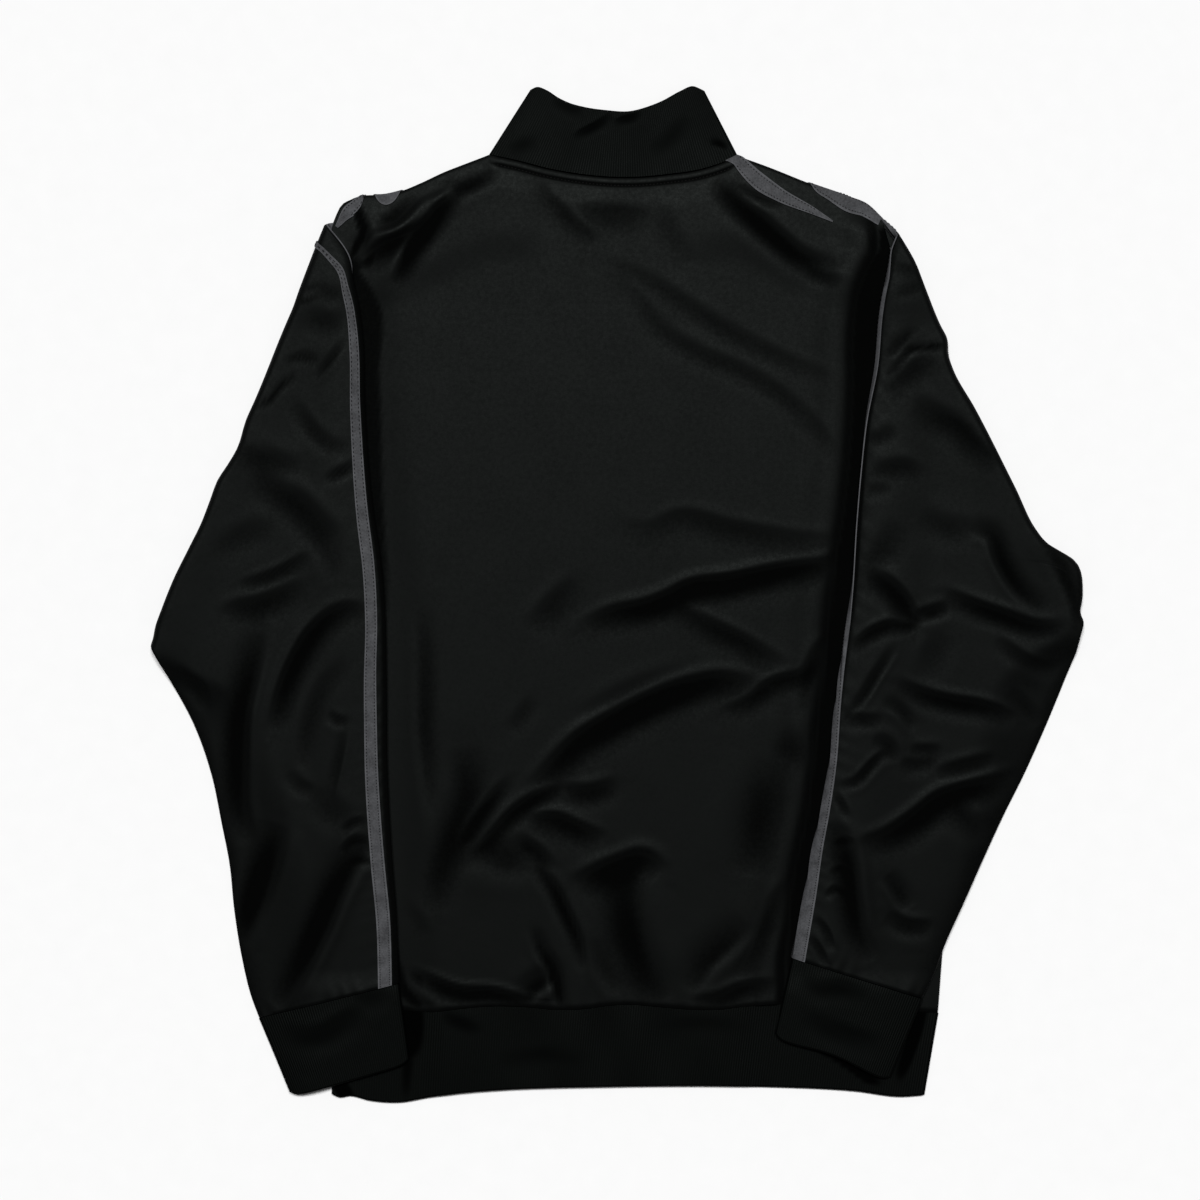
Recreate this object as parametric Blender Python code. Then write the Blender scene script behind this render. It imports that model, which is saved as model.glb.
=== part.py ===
"""Track jacket laid flat on its front, back up, with both sleeves folded in over the back.

Every cloth piece is a wall worked out from plan outlines and layer heights in millimetres. X runs to
the wearer's right, Y to the collar and Z up. The surface that the jacket lies on is Z = 0.
"""

import math
from collections import namedtuple

import bmesh
import bpy
import numpy as np
from mathutils.bvhtree import BVHTree

MM = 0.001

# Cloth and trim.
CLOTH = 1.2
RIB = 1.8
TAPE = 0.8
TAPE_WIDTH = 11.5
TAPE_GAP = 14.0
SEAM = 0.3
LAYER_GAP = 0.5

# Layers: two walls of cloth make a flat stack, and the sleeve folds about an axis above its stack.
STACK = 2 * CLOTH + LAYER_GAP
RIB_STACK = 2 * RIB + LAYER_GAP
FOLD_AXIS = 5.5
FOLD_MEAN = FOLD_AXIS - STACK / 2
FOLD_TURN = math.pi * FOLD_MEAN
TAPE_LIFT = 1.4

# How far layers stand apart where the cloth is full.
SLEEVE_PUFF = 2.9
BACK_PUFF = 2.4
RIB_PUFF = 1.6

# The plan's origin is the centre of the jacket's box.
CENTRE_X = 1.594
CENTRE_Y = -1.112

# Columns and rows of the cloth grids.
SHOULDER_COLUMNS = 7
NECK_COLUMNS = 11
BODY_ROWS = 26
SLEEVE_COLUMNS = 8
RIB_ROWS = 4

BLACK = ((0.010, 0.010, 0.011), 0.45)
RIB_BLACK = ((0.008, 0.008, 0.009), 0.8)
GREY = ((0.085, 0.085, 0.09), 0.6)
METAL = ((0.05, 0.05, 0.05), 0.35)

Point = namedtuple("Point", "x y")
Crease = namedtuple("Crease", "height width path")


def smooth(share):
    """A soft step from 0 to 1 as share goes from 0 to 1."""
    share = min(max(share, 0.0), 1.0)
    return share * share * (3 - 2 * share)


class Line:
    """A smooth line through plan points, read at a share of its length."""

    def __init__(self, points):
        self.points = np.array(points, float)
        steps = np.linalg.norm(np.diff(self.points, axis=0), axis=1)
        self.places = np.concatenate([[0.0], np.cumsum(steps)])
        self.length = float(self.places[-1])
        self.slopes = np.gradient(self.points, self.places, axis=0)

    def at(self, share):
        place = min(max(share, 0.0), 1.0) * self.length
        k = int(np.clip(np.searchsorted(self.places, place) - 1, 0, len(self.points) - 2))
        step = self.places[k + 1] - self.places[k]
        t = (place - self.places[k]) / step
        start, end = self.points[k], self.points[k + 1]
        leave, arrive = self.slopes[k] * step, self.slopes[k + 1] * step
        return (
            start * (1 + t * t * (2 * t - 3)) + leave * t * (1 - t) ** 2
            + end * t * t * (3 - 2 * t) - arrive * t * t * (1 - t)
        )


class Edge:
    """One plan coordinate as a smooth function of the other, through a short table."""

    def __init__(self, table):
        rows = sorted(table)
        self.keys = np.array([key for key, value in rows], float)
        self.values = np.array([value for key, value in rows], float)
        self.slopes = np.gradient(self.values, self.keys)

    def at(self, key):
        if key <= self.keys[0]:
            return float(self.values[0])
        if key >= self.keys[-1]:
            return float(self.values[-1])
        k = int(np.searchsorted(self.keys, key) - 1)
        step = self.keys[k + 1] - self.keys[k]
        t = (key - self.keys[k]) / step
        return float(
            self.values[k] * (1 + t * t * (2 * t - 3)) + self.slopes[k] * step * t * (1 - t) ** 2
            + self.values[k + 1] * t * t * (3 - 2 * t) - self.slopes[k + 1] * step * t * t * (1 - t)
        )


def crease_height(creases, x, y):
    """The rise, or the dip where it is negative, of all the creases at a plan point."""
    total = 0.0
    for crease in creases:
        lengths = [math.dist(a, b) for a, b in zip(crease.path, crease.path[1:])]
        whole, done, best, share = sum(lengths), 0.0, 1e9, 0.0
        for a, b, length in zip(crease.path, crease.path[1:], lengths):
            t = ((x - a[0]) * (b[0] - a[0]) + (y - a[1]) * (b[1] - a[1])) / length**2
            t = min(max(t, 0.0), 1.0)
            away = math.hypot(x - a[0] - t * (b[0] - a[0]), y - a[1] - t * (b[1] - a[1]))
            if away < best:
                best, share = away, (done + t * length) / whole
            done += length
        if best < 3 * crease.width:
            ends = 0.25 + 0.75 * math.sin(math.pi * share)
            total += crease.height * ends * math.exp(-((best / crease.width) ** 2))
    return total


# ---- meshes and materials ----

for thing in list(bpy.data.objects):
    bpy.data.objects.remove(thing)
jacket = bpy.data.collections.new("track_jacket")
bpy.context.scene.collection.children.link(jacket)


def material_of(name, finish):
    colour, roughness = finish
    material = bpy.data.materials.new(name)
    material.use_nodes = True
    shader = material.node_tree.nodes["Principled BSDF"]
    shader.inputs["Base Color"].default_value = (*colour, 1)
    shader.inputs["Roughness"].default_value = roughness
    shader.inputs["Metallic"].default_value = 1.0 if finish is METAL else 0.0
    return material


def wall(name, outer, inner, ring, finish):
    """A closed wall between two grids of points, outer[row][column] and inner[row][column].

    A ring joins its last column to its first, as a tube does. Both faces are cut along the same
    diagonals, so the wall keeps its thickness.
    """
    rows, columns = len(outer), len(outer[0])
    points = [point for grid in (outer, inner) for row in grid for point in row]
    points = [((x - CENTRE_X) * MM, (y - CENTRE_Y) * MM, z * MM) for x, y, z in points]

    def at(layer, row, column):
        return (layer * rows + row) * columns + column % columns

    last = columns if ring else columns - 1
    faces = []
    for row in range(rows - 1):
        for k in range(last):
            a, b, c, d = (0, row, k), (0, row, k + 1), (0, row + 1, k + 1), (0, row + 1, k)
            faces += [[at(*a), at(*b), at(*c)], [at(*a), at(*c), at(*d)]]
            a, b, c, d = ((1, *corner[1:]) for corner in (a, b, c, d))
            faces += [[at(*c), at(*b), at(*a)], [at(*d), at(*c), at(*a)]]
    for row, flip in ((0, False), (rows - 1, True)):
        for k in range(last):
            quad = [at(0, row, k + 1), at(0, row, k), at(1, row, k), at(1, row, k + 1)]
            faces.append(quad[::-1] if flip else quad)
    if not ring:
        for k, flip in ((0, False), (columns - 1, True)):
            for row in range(rows - 1):
                quad = [at(0, row, k), at(0, row + 1, k), at(1, row + 1, k), at(1, row, k)]
                faces.append(quad[::-1] if flip else quad)
    mesh = bpy.data.meshes.new(name)
    mesh.from_pydata(points, [], faces)
    mesh.materials.append(material_of(name, finish))
    piece = bpy.data.objects.new(name, mesh)
    jacket.objects.link(piece)
    shape = bmesh.new()
    shape.from_mesh(mesh)
    bmesh.ops.recalc_face_normals(shape, faces=shape.faces)
    if shape.calc_volume(signed=True) < 0:
        bmesh.ops.reverse_faces(shape, faces=shape.faces)
    shape.to_mesh(mesh)
    shape.free()
    mesh.shade_smooth()
    return piece


def sheet(name, plan, low, thickness, finish, rows, columns):
    """A wall over a grid of plan points, from its lower face low(x, y) up by its thickness."""
    grid = [[plan(row, column) for column in range(columns)] for row in range(rows)]
    bottom = [[(x, y, low(x, y)) for x, y in line] for line in grid]
    top = [[(x, y, z + thickness) for x, y, z in line] for line in bottom]
    return wall(name, top, bottom, False, finish)


# ---- plan outlines of the body ----

# Where the shoulder meets the sleeve's fold line, the armpit, and the hem's two ends.
SHOULDER_LEFT, SHOULDER_RIGHT = Point(-216.5, 281.0), Point(200.7, 285.5)
ARMPIT_LEFT, ARMPIT_RIGHT = Point(-279.0, 10.0), Point(279.0, 14.0)
HEM_LEFT, HEM_RIGHT = Point(-214.7, -318.0), Point(243.6, -319.0)
NECK_LEFT, NECK_RIGHT = Point(-96.9, 334.0), Point(90.8, 333.0)

shoulder_left = Edge([
    (SHOULDER_LEFT.x, SHOULDER_LEFT.y), (-212, 292), (-202, 300), (-190, 303), (-179, 303),
    (-165, 306), (-149, 312.5), (-132, 320.5), (-118, 326), (NECK_LEFT.x, NECK_LEFT.y),
])
neck_back = Edge([
    (NECK_LEFT.x, NECK_LEFT.y), (-76, 329.4), (-51, 323.2), (-28, 319.3), (-5.7, 317.2),
    (17, 317.2), (40, 319.4), (63, 322.8), (81, 328.5), (NECK_RIGHT.x, NECK_RIGHT.y),
])
shoulder_right = Edge([
    (NECK_RIGHT.x, NECK_RIGHT.y), (101, 329.5), (116, 324), (146, 312), (177, 301),
    (190, 295.5), (SHOULDER_RIGHT.x, SHOULDER_RIGHT.y),
])
hem_seam = Edge([
    (HEM_LEFT.x, HEM_LEFT.y), (-157, -316.5), (-66, -312.7), (2, -311.2), (93, -313.6),
    (160, -316), (HEM_RIGHT.x, HEM_RIGHT.y),
])
side_left = Edge([(HEM_LEFT.y, HEM_LEFT.x), (-200, -238), (-90, -259), (ARMPIT_LEFT.y, ARMPIT_LEFT.x)])
side_right = Edge([
    (HEM_RIGHT.y, HEM_RIGHT.x), (-280, 246.5), (-150, 259), (-60, 270), (ARMPIT_RIGHT.y, ARMPIT_RIGHT.x),
])


def body_side(y, left):
    """The body's side outline: the side seam up to the armpit, then the straight armhole."""
    armpit, shoulder = (ARMPIT_LEFT, SHOULDER_LEFT) if left else (ARMPIT_RIGHT, SHOULDER_RIGHT)
    if y < armpit.y:
        return (side_left if left else side_right).at(y)
    return armpit.x + (shoulder.x - armpit.x) * (y - armpit.y) / (shoulder.y - armpit.y)


def body_top(x):
    """The body's upper outline: shoulder, neck seam, shoulder."""
    if x < NECK_LEFT.x:
        return shoulder_left.at(x)
    return neck_back.at(x) if x < NECK_RIGHT.x else shoulder_right.at(x)


def spread(start, end, count):
    return [start + (end - start) * k / count for k in range(count)]


# The back's columns, as x on its top edge: a column stands on each corner of the neck.
top_marks = (
    spread(SHOULDER_LEFT.x, NECK_LEFT.x, SHOULDER_COLUMNS)
    + spread(NECK_LEFT.x, NECK_RIGHT.x, NECK_COLUMNS)
    + spread(NECK_RIGHT.x, SHOULDER_RIGHT.x, SHOULDER_COLUMNS) + [SHOULDER_RIGHT.x]
)
neck_marks = top_marks[SHOULDER_COLUMNS:SHOULDER_COLUMNS + NECK_COLUMNS + 1]
mark_shares = [(x - SHOULDER_LEFT.x) / (SHOULDER_RIGHT.x - SHOULDER_LEFT.x) for x in top_marks]
hem_marks = [HEM_LEFT.x + share * (HEM_RIGHT.x - HEM_LEFT.x) for share in mark_shares]

# The inner, taped edges of the folded sleeves, from the shoulder down. The back dips under them.
TAPED_LEFT = [
    (-212.5, 273), (-206, 257), (-202.5, 238), (-198, 220), (-194.2, 196), (-192.7, 147),
    (-186.5, 66), (-180.5, 25), (-176.7, -20), (-176, -56), (-175.2, -137), (-171.4, -206),
    (-168.3, -246), (-166.8, -296),
]
TAPED_RIGHT = [
    (203.5, 271), (203, 255), (201.5, 235), (200, 215), (197, 175), (189.4, 131), (185.6, 92),
    (182.5, 53), (179, 5.7), (173.5, -35), (166.5, -83), (162, -127), (155.5, -165),
    (149.5, -192), (143.5, -225), (133.4, -277),
]
sleeve_edge_left = Edge([(y, x) for x, y in TAPED_LEFT])
sleeve_edge_right = Edge([(y, x) for x, y in TAPED_RIGHT])
back_roll_right = Edge([
    (-275, 129.6), (-214, 135), (-165, 145.5), (-104, 152.4), (-28, 161), (14, 165), (53, 171.4),
    (155, 179.7), (200, 180), (236, 186), (253, 194), (262, 200),
])


# The lift for the tapes starts this far below the shoulder line and this far from the middle.
LIFT_BELOW, LIFT_ASIDE, LIFT_RUN = 85, 45, 30
BODY_MIDDLE_X = -3


def tape_lift(x, y):
    """Room under the cloth near the shoulder lines, where the tapes wrap to the underside."""
    corners = (SHOULDER_LEFT, NECK_LEFT, NECK_RIGHT, SHOULDER_RIGHT)
    line = np.interp(x, [corner.x for corner in corners], [corner.y for corner in corners])
    near = smooth((y - line + LIFT_BELOW) / LIFT_RUN)
    aside = smooth((abs(x - BODY_MIDDLE_X) - LIFT_ASIDE) / LIFT_RUN)
    return TAPE_LIFT * near * aside


BACK_CREASES = [
    Crease(-3.0, 13, [(170, 22), (110, 9), (42, -11), (-30, -28)]),
    Crease(3.4, 14, [(168, 36), (108, 26), (44, 6)]),
    Crease(3.2, 14, [(166, 2), (120, -8), (80, -20)]),
    Crease(-2.6, 12, [(42, -11), (90, -28), (128, -50)]),
    Crease(-3.0, 13, [(98, -77), (18, -83), (-42, -112), (-86, -152)]),
    Crease(3.6, 15, [(92, -60), (15, -64), (-48, -94), (-92, -134)]),
    Crease(3.0, 16, [(70, -100), (-10, -106), (-52, -140)]),
    Crease(-2.6, 12, [(-130, -204), (-104, -178), (-62, -166)]),
    Crease(2.8, 12, [(-116, -210), (-78, -186), (-30, -178)]),
    Crease(-2.6, 13, [(-30, -212), (10, -204), (26, -186)]),
    Crease(-2.4, 14, [(-52, -222), (-30, -262), (-18, -300)]),
    Crease(2.8, 14, [(-72, -226), (-52, -262), (-44, -300)]),
    Crease(3.0, 15, [(60, -236), (72, -270), (60, -300)]),
    Crease(-2.6, 14, [(36, -240), (52, -280), (58, -308)]),
    Crease(3.4, 13, [(-160, -292), (-110, -296), (-60, -292), (-10, -298)]),
    Crease(3.0, 13, [(10, -298), (70, -294), (120, -292)]),
    Crease(-2.6, 16, [(78, 306), (110, 276), (170, 252)]),
    Crease(2.6, 14, [(60, 290), (96, 258), (150, 236)]),
    Crease(2.2, 18, [(-80, 318), (-40, 272), (-10, 240)]),
    Crease(-1.8, 18, [(0, 240), (70, 190), (150, 150)]),
    Crease(2.4, 14, [(-150, 300), (-176, 262), (-190, 230)]),
    Crease(2.4, 15, [(-150, -20), (-140, -110), (-128, -190)]),
]
BACK_FLOOR_DIP = 1.6
# The back grows full over these runs, from the left sleeve, the right sleeve and its top edge.
FULL_FROM_LEFT, FULL_FROM_RIGHT, FULL_FROM_TOP = 34, 15, 26
LEFT_SLEEVE_ROOM, RIGHT_SLEEVE_ROOM, PAST_ROLL = 2, 5, 6
# Beside the right sleeve the back stands up in a roll.
ROLL_HEIGHT, ROLL_INSET, ROLL_WIDTH = 3.6, 14, 15
# The collar's front halves, thicker than the cloth, lie under the top of the back.
NECK_LIFT, COLLAR_LEFT_X, COLLAR_RIGHT_X, COLLAR_LOW_Y = 0.9, -105, 99, 235
NECK_RAMP_X, NECK_RAMP_Y = 10, 12


def back_low(x, y):
    """The lower face of the back: pressed flat under the sleeves, full between them."""
    left = smooth((x - sleeve_edge_left.at(y) - LEFT_SLEEVE_ROOM) / FULL_FROM_LEFT)
    right_end = min(back_roll_right.at(y) + PAST_ROLL, sleeve_edge_right.at(y) - RIGHT_SLEEVE_ROOM)
    right = smooth((right_end - x) / FULL_FROM_RIGHT)
    top = smooth((body_top(x) - y) / FULL_FROM_TOP)
    full = left * right * top
    from_roll = (back_roll_right.at(y) - ROLL_INSET - x) / ROLL_WIDTH
    roll = ROLL_HEIGHT * math.exp(-(from_roll**2)) * top * right
    fold = max(crease_height(BACK_CREASES, x, y), -BACK_FLOOR_DIP)
    over_left = smooth((x - COLLAR_LEFT_X) / NECK_RAMP_X)
    over_right = smooth((COLLAR_RIGHT_X - x) / NECK_RAMP_X)
    over_collar = NECK_LIFT * over_left * over_right * smooth((y - COLLAR_LOW_Y) / NECK_RAMP_Y)
    return CLOTH + LAYER_GAP + tape_lift(x, y) + max(full * (BACK_PUFF + fold), over_collar) + roll


def body_point(share_across, share_up, gap=SEAM):
    """A plan point of the body, from its hem seam up to its top outline and from side to side."""
    left_y = HEM_LEFT.y + share_up * (SHOULDER_LEFT.y - HEM_LEFT.y)
    right_y = HEM_RIGHT.y + share_up * (SHOULDER_RIGHT.y - HEM_RIGHT.y)
    left_x, right_x = body_side(left_y, True) + 2 * gap, body_side(right_y, False) - 2 * gap
    x = left_x + share_across * (right_x - left_x)
    foot_x = HEM_LEFT.x + share_across * (HEM_RIGHT.x - HEM_LEFT.x)
    head_x = SHOULDER_LEFT.x + share_across * (SHOULDER_RIGHT.x - SHOULDER_LEFT.x)
    y = (1 - share_up) * (hem_seam.at(foot_x) + gap) + share_up * (body_top(head_x) - gap)
    return Point(x, y)


def back_plan(row, column):
    return body_point(mark_shares[column], row / (BODY_ROWS - 1))


sheet("back", back_plan, back_low, CLOTH, BLACK, BODY_ROWS, len(top_marks))

# ---- front panels and zip, under the back ----

ZIP_SLOT = 6.0
# No column of a front or of the collar stands closer to the zip than this, apart from its edge.
ZIP_ROOM = 8
NECK_CURVE = 1.6
# The zip's centre line, x at the band's foot, the hem seam, the front neck and the collar's top.
ZIP_FOOT_X, ZIP_HEM_X, ZIP_NECK_X, ZIP_TOP_X = 8.0, 14.4, -6.0, -2.1
ZIP_HEM_Y = hem_seam.at(ZIP_HEM_X) - SEAM
ZIP_CLEAR = 0.3
CHAIN_WIDTH, CHAIN_LOW, CHAIN_HIGH = 5.4, 1.3, 2.6
ZIP_TAPE_WIDTH, ZIP_TAPE = 11.0, 0.6
FRONT_NECK_Y = 247.0
# Shares up a front, close together where it lifts off the surface for the tapes.
FRONT_SHARES = [0, 0.17, 0.34, 0.51, 0.66, 0.78, 0.84, 0.875, 0.905, 0.935, 0.965, 1]
BAND_FOOT_Y = -375.5
COLLAR_FRONT_HEIGHT = 54.0
# The fronts' neckline is cut a little wider than the collar's seam, which keeps the two apart.
FRONT_NECK_CUT = 0.993


def zip_x(y):
    """The centre line of the front, a little aslant because the jacket lies so."""
    if y < ZIP_HEM_Y:
        return ZIP_HEM_X + (ZIP_FOOT_X - ZIP_HEM_X) * (ZIP_HEM_Y - y) / (ZIP_HEM_Y - BAND_FOOT_Y)
    if y > FRONT_NECK_Y:
        return ZIP_NECK_X + (ZIP_TOP_X - ZIP_NECK_X) * (y - FRONT_NECK_Y) / COLLAR_FRONT_HEIGHT
    return ZIP_HEM_X + (ZIP_NECK_X - ZIP_HEM_X) * (y - ZIP_HEM_Y) / (FRONT_NECK_Y - ZIP_HEM_Y)


def front_neck(x):
    """The front neckline, a curve from each corner of the neck down to the zip."""
    centre = zip_x(FRONT_NECK_Y)
    corner = NECK_LEFT if x < centre else NECK_RIGHT
    share = min(abs((x - centre) / (corner.x - centre)), 1.0)
    return FRONT_NECK_Y + (corner.y - FRONT_NECK_Y) * (1 - math.sqrt(max(1 - share**NECK_CURVE, 0.0)))


def front_top(x):
    if x < NECK_LEFT.x or x > NECK_RIGHT.x:
        return body_top(x)
    centre = zip_x(FRONT_NECK_Y)
    return front_neck(centre + (x - centre) * FRONT_NECK_CUT)


def front_columns(left):
    """The columns of one front, as x on its top edge, from the zip to the shoulder."""
    centre = zip_x(FRONT_NECK_Y)
    slot = -ZIP_SLOT / 2 if left else ZIP_SLOT / 2
    marks = [x for x in neck_marks if (x < centre - ZIP_ROOM if left else x > centre + ZIP_ROOM)]
    corners = (NECK_LEFT.x, SHOULDER_LEFT.x) if left else (NECK_RIGHT.x, SHOULDER_RIGHT.x)
    outer = spread(*corners, SHOULDER_COLUMNS)
    marks.append(NECK_LEFT.x + (RIB + LAYER_GAP) / 2 if left else NECK_RIGHT.x - (RIB + LAYER_GAP) / 2)
    marks = sorted(marks, key=lambda x: abs(x - centre))
    return [centre + slot] + marks + outer[1:] + [(SHOULDER_LEFT if left else SHOULDER_RIGHT).x]


for side, left in (("left", True), ("right", False)):
    columns = front_columns(left)

    def front_plan(row, column, columns=columns, left=left):
        share_up = FRONT_SHARES[row]
        across = (columns[column] - columns[0]) / (columns[-1] - columns[0])
        edge = body_point(0.0 if left else 1.0, share_up)
        hem_y, head_y = hem_seam.at(edge.x), front_top(columns[column])
        inner_y = (1 - share_up) * ZIP_HEM_Y + share_up * FRONT_NECK_Y
        inner = zip_x(inner_y) + (-ZIP_SLOT / 2 if left else ZIP_SLOT / 2)
        x = inner + across * (edge.x - inner)
        foot_x = ZIP_HEM_X + across * ((HEM_LEFT if left else HEM_RIGHT).x - ZIP_HEM_X)
        y = (1 - share_up) * (hem_seam.at(foot_x) + 2 * SEAM) + share_up * (head_y - 2 * SEAM)
        return Point(x, y)

    sheet("front_" + side, front_plan, tape_lift, CLOTH, BLACK, len(FRONT_SHARES), len(columns))

# ---- tubes of cloth: a flattened ring read round its edge ----


def flat_ring(c, width, radius):
    """The middle of a flattened tube's wall, c along it from one edge, and the way out of it.

    The first straight run is the lower side. It gives the place across the tube from the far edge,
    the height over the tube's middle, and the outward direction in both.
    """
    arc, run = math.pi * radius / 2, width - 2 * radius
    c = c % (4 * arc + 2 * run)
    if c < arc:
        aside, rise = math.cos(c / radius), -math.sin(c / radius)
        return width - radius + radius * aside, radius * rise, aside, rise
    if c < arc + run:
        return width - radius - (c - arc), -radius, 0.0, -1.0
    if c < 3 * arc + run:
        turn = (c - arc - run) / radius
        aside, rise = -math.sin(turn), -math.cos(turn)
        return radius + radius * aside, radius * rise, aside, rise
    if c < 3 * arc + 2 * run:
        return radius + (c - 3 * arc - run), radius, 0.0, 1.0
    turn = (c - 3 * arc - 2 * run) / radius
    aside, rise = math.sin(turn), math.cos(turn)
    return width - radius + radius * aside, radius * rise, aside, rise


# The sleeve's columns stand closer together over this reach beside its fold.
FOLD_CROWD, FOLD_REACH, RUN_SAMPLES, RUN_MARGIN = 12, 9, 200, 8.0


def run_places(columns, width, bend_start, bend_end):
    """Places across a flattened tube, denser where it turns over the fold."""
    samples = np.linspace(RUN_MARGIN, width - RUN_MARGIN, RUN_SAMPLES)
    centre = np.clip((bend_start + bend_end) / 2, samples[0], samples[-1])
    crowd = 1 + FOLD_CROWD * np.exp(-(((samples - centre) / FOLD_REACH) ** 2))
    total = np.concatenate([[0.0], np.cumsum((crowd[1:] + crowd[:-1]) / 2)])
    wanted = np.linspace(0, total[-1], columns + 2)[1:-1]
    return np.interp(wanted, total, samples)


# ---- sleeves ----

EDGE_MARKS = 1.33
# The other places stay this far from the taped edge, and one stands just beside the hidden tape.
TAPE_ZONE, BESIDE_TAPE = 36.0, 5.0
TURNING, TURNING_ROWS, LONG_ROWS, ROW_CROWD = 0.054, 8, 17, 1.25
# A sleeve's rows lean towards the taped edge's upper end by this share.
ROW_LEAN = 0.35
# The run past the fold in which the top layers settle, and in which their flat places are read.
SETTLE_RUN, READ_RUN = 40.0, 15
# The top layers come down from the body onto the table this far past its edge, over this run.
PAST_BODY, BODY_RUN = 8, 25
ON_BODY, ON_BAND, BAND_Y, BAND_RUN = 3.6, 1.2, -285, 20
# The fold's outline fades out over this run, and from the armhole over this share.
OUTLINE_RUN, OUTLINE_START = 60, 0.06
# The cloth is full this far inside both edges, and its creases a little further in.
FULL_RUN, CREASE_RUN, DEEPEST = 8, 12, 0.8
# The hidden tapes lift the layers over them near the taped edge.
OVER_TAPE, OVER_TAPE_FROM, OVER_TAPE_RUN = 1.9, 62, 25


class Sleeve:
    """A sleeve as a flat tube, folded over at the line from shoulder to elbow.

    Flat places are p, along the fold line from the shoulder, and q, past the fold line. The ruled rows
    run from the underarm seam to the taped edge. The share v goes from the armhole to the cuff.
    """

    def __init__(self, side, corners, taped_edge, under_edge, outline, insets, body_edge, creases):
        shoulder, elbow, armpit = corners
        self.side = side
        self.shoulder = np.array(shoulder, float)
        span = np.subtract(elbow, shoulder)
        self.reach = float(np.linalg.norm(span))
        self.along = span / self.reach
        turn = 1 if side == "left" else -1
        self.inward = turn * np.array([-self.along[1], self.along[0]])
        from_shoulder = np.subtract(armpit, shoulder)
        armpit_flat = (from_shoulder @ self.along, -(from_shoulder @ self.inward))
        self.taped = Line([(0.0, 0.0)] + [self.flat(point) for point in taped_edge])
        self.under = Line([armpit_flat, (self.reach, 0.0)] + [self.flat(point) for point in under_edge])
        self.outline = Edge(outline)
        self.insets = Edge(insets)
        self.body_edge = Edge(body_edge)
        self.creases = creases

    def flat(self, point):
        """The flat place of a point of the folded top layers."""
        away = np.subtract(point, self.shoulder)
        past = away @ self.inward
        return away @ self.along, past + FOLD_TURN * smooth(past / READ_RUN)

    def section(self, v):
        return self.under.at(v), self.taped.at(v + ROW_LEAN * v * (1 - v))

    def rest_height(self, x, y):
        """What the top layers lie on: the body and the under layers of the sleeve, or the floor."""
        edge = self.body_edge.at(y)
        past = (edge - x if self.side == "left" else x - edge) - PAST_BODY
        return smooth(1 - past / BODY_RUN) * (ON_BODY + ON_BAND * smooth((BAND_Y - y) / BAND_RUN))

    def point(self, v, c, out):
        """A point of the wall: c round the flat tube from its taped edge, out from the wall's middle."""
        under, taped = self.section(v)
        width = float(np.linalg.norm(taped - under))
        across, rise, out_across, out_rise = flat_ring(c, width, (CLOTH + LAYER_GAP) / 2)
        place = across + out * out_across
        height = STACK / 2 + rise + out * out_rise
        p, q = under + (taped - under) * place / width
        radius = FOLD_AXIS - height
        if q <= 0:
            past, z = -q, height
        elif q < FOLD_TURN:
            past = -radius * math.sin(q / FOLD_MEAN)
            z = FOLD_AXIS - radius * math.cos(q / FOLD_MEAN)
        else:
            past, z = q - FOLD_TURN, 2 * FOLD_AXIS - height
        bulge = self.outline.at(p) * smooth(1 - abs(past) / OUTLINE_RUN) * smooth(v / OUTLINE_START)
        x, y = self.shoulder + self.along * p + self.inward * (past - bulge)
        settled = smooth((q - FOLD_TURN / 2) / SETTLE_RUN)
        upper = (STACK / 2 - rise - CLOTH / 2) / (STACK - CLOTH)
        inside = min(across, width - across)
        full = SLEEVE_PUFF * (1 - math.exp(-inside / FULL_RUN))
        fold = max(crease_height(self.creases, x, y), -DEEPEST * SLEEVE_PUFF)
        fold *= 1 - math.exp(-inside / CREASE_RUN)
        under_tape = OVER_TAPE * smooth((OVER_TAPE_FROM - (width - across)) / OVER_TAPE_RUN)
        laid = self.rest_height(x, y) + under_tape + STACK - height + upper * (full + fold)
        return x, y, z + (laid - z) * settled + tape_lift(x, y)

    def marks(self, v):
        """The places round the ring near the taped edge, from the under side to the upper side."""
        near = self.insets.at(v)
        edge = [-EDGE_MARKS, 0.0, EDGE_MARKS]
        behind = [near - TAPE_GAP - TAPE_WIDTH * share for share in (1, 2 / 3, 1 / 3, 0)]
        if near > 0:
            return behind + edge + [near, near + TAPE_WIDTH / 2, near + TAPE_WIDTH]
        return behind + [near, (near - EDGE_MARKS) / 2] + edge + [near + TAPE_WIDTH]

    def ring(self, v):
        """All places round the ring."""
        under, taped = self.section(v)
        width = float(np.linalg.norm(taped - under))
        radius = (CLOTH + LAYER_GAP) / 2
        arc, run = math.pi * radius / 2, width - 2 * radius
        steep = (taped[1] - under[1]) / width
        bends = [(q - under[1]) / steep for q in (0.0, FOLD_TURN)]
        places = run_places(SLEEVE_COLUMNS, width - TAPE_ZONE, *bends)
        upper = [arc + width - radius - place for place in reversed(places)]
        lower = [3 * arc + 2 * run - (width - radius - place) for place in places]
        far = 2 * arc + run
        turn = [far - arc, far - arc / 2, far, far + arc / 2, far + arc]
        marks = self.marks(v)
        beside = spread(marks[-1], TAPE_ZONE + 2, 4)[1:]
        return [marks[0] - BESIDE_TAPE] + marks + beside + upper + turn + lower


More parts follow.
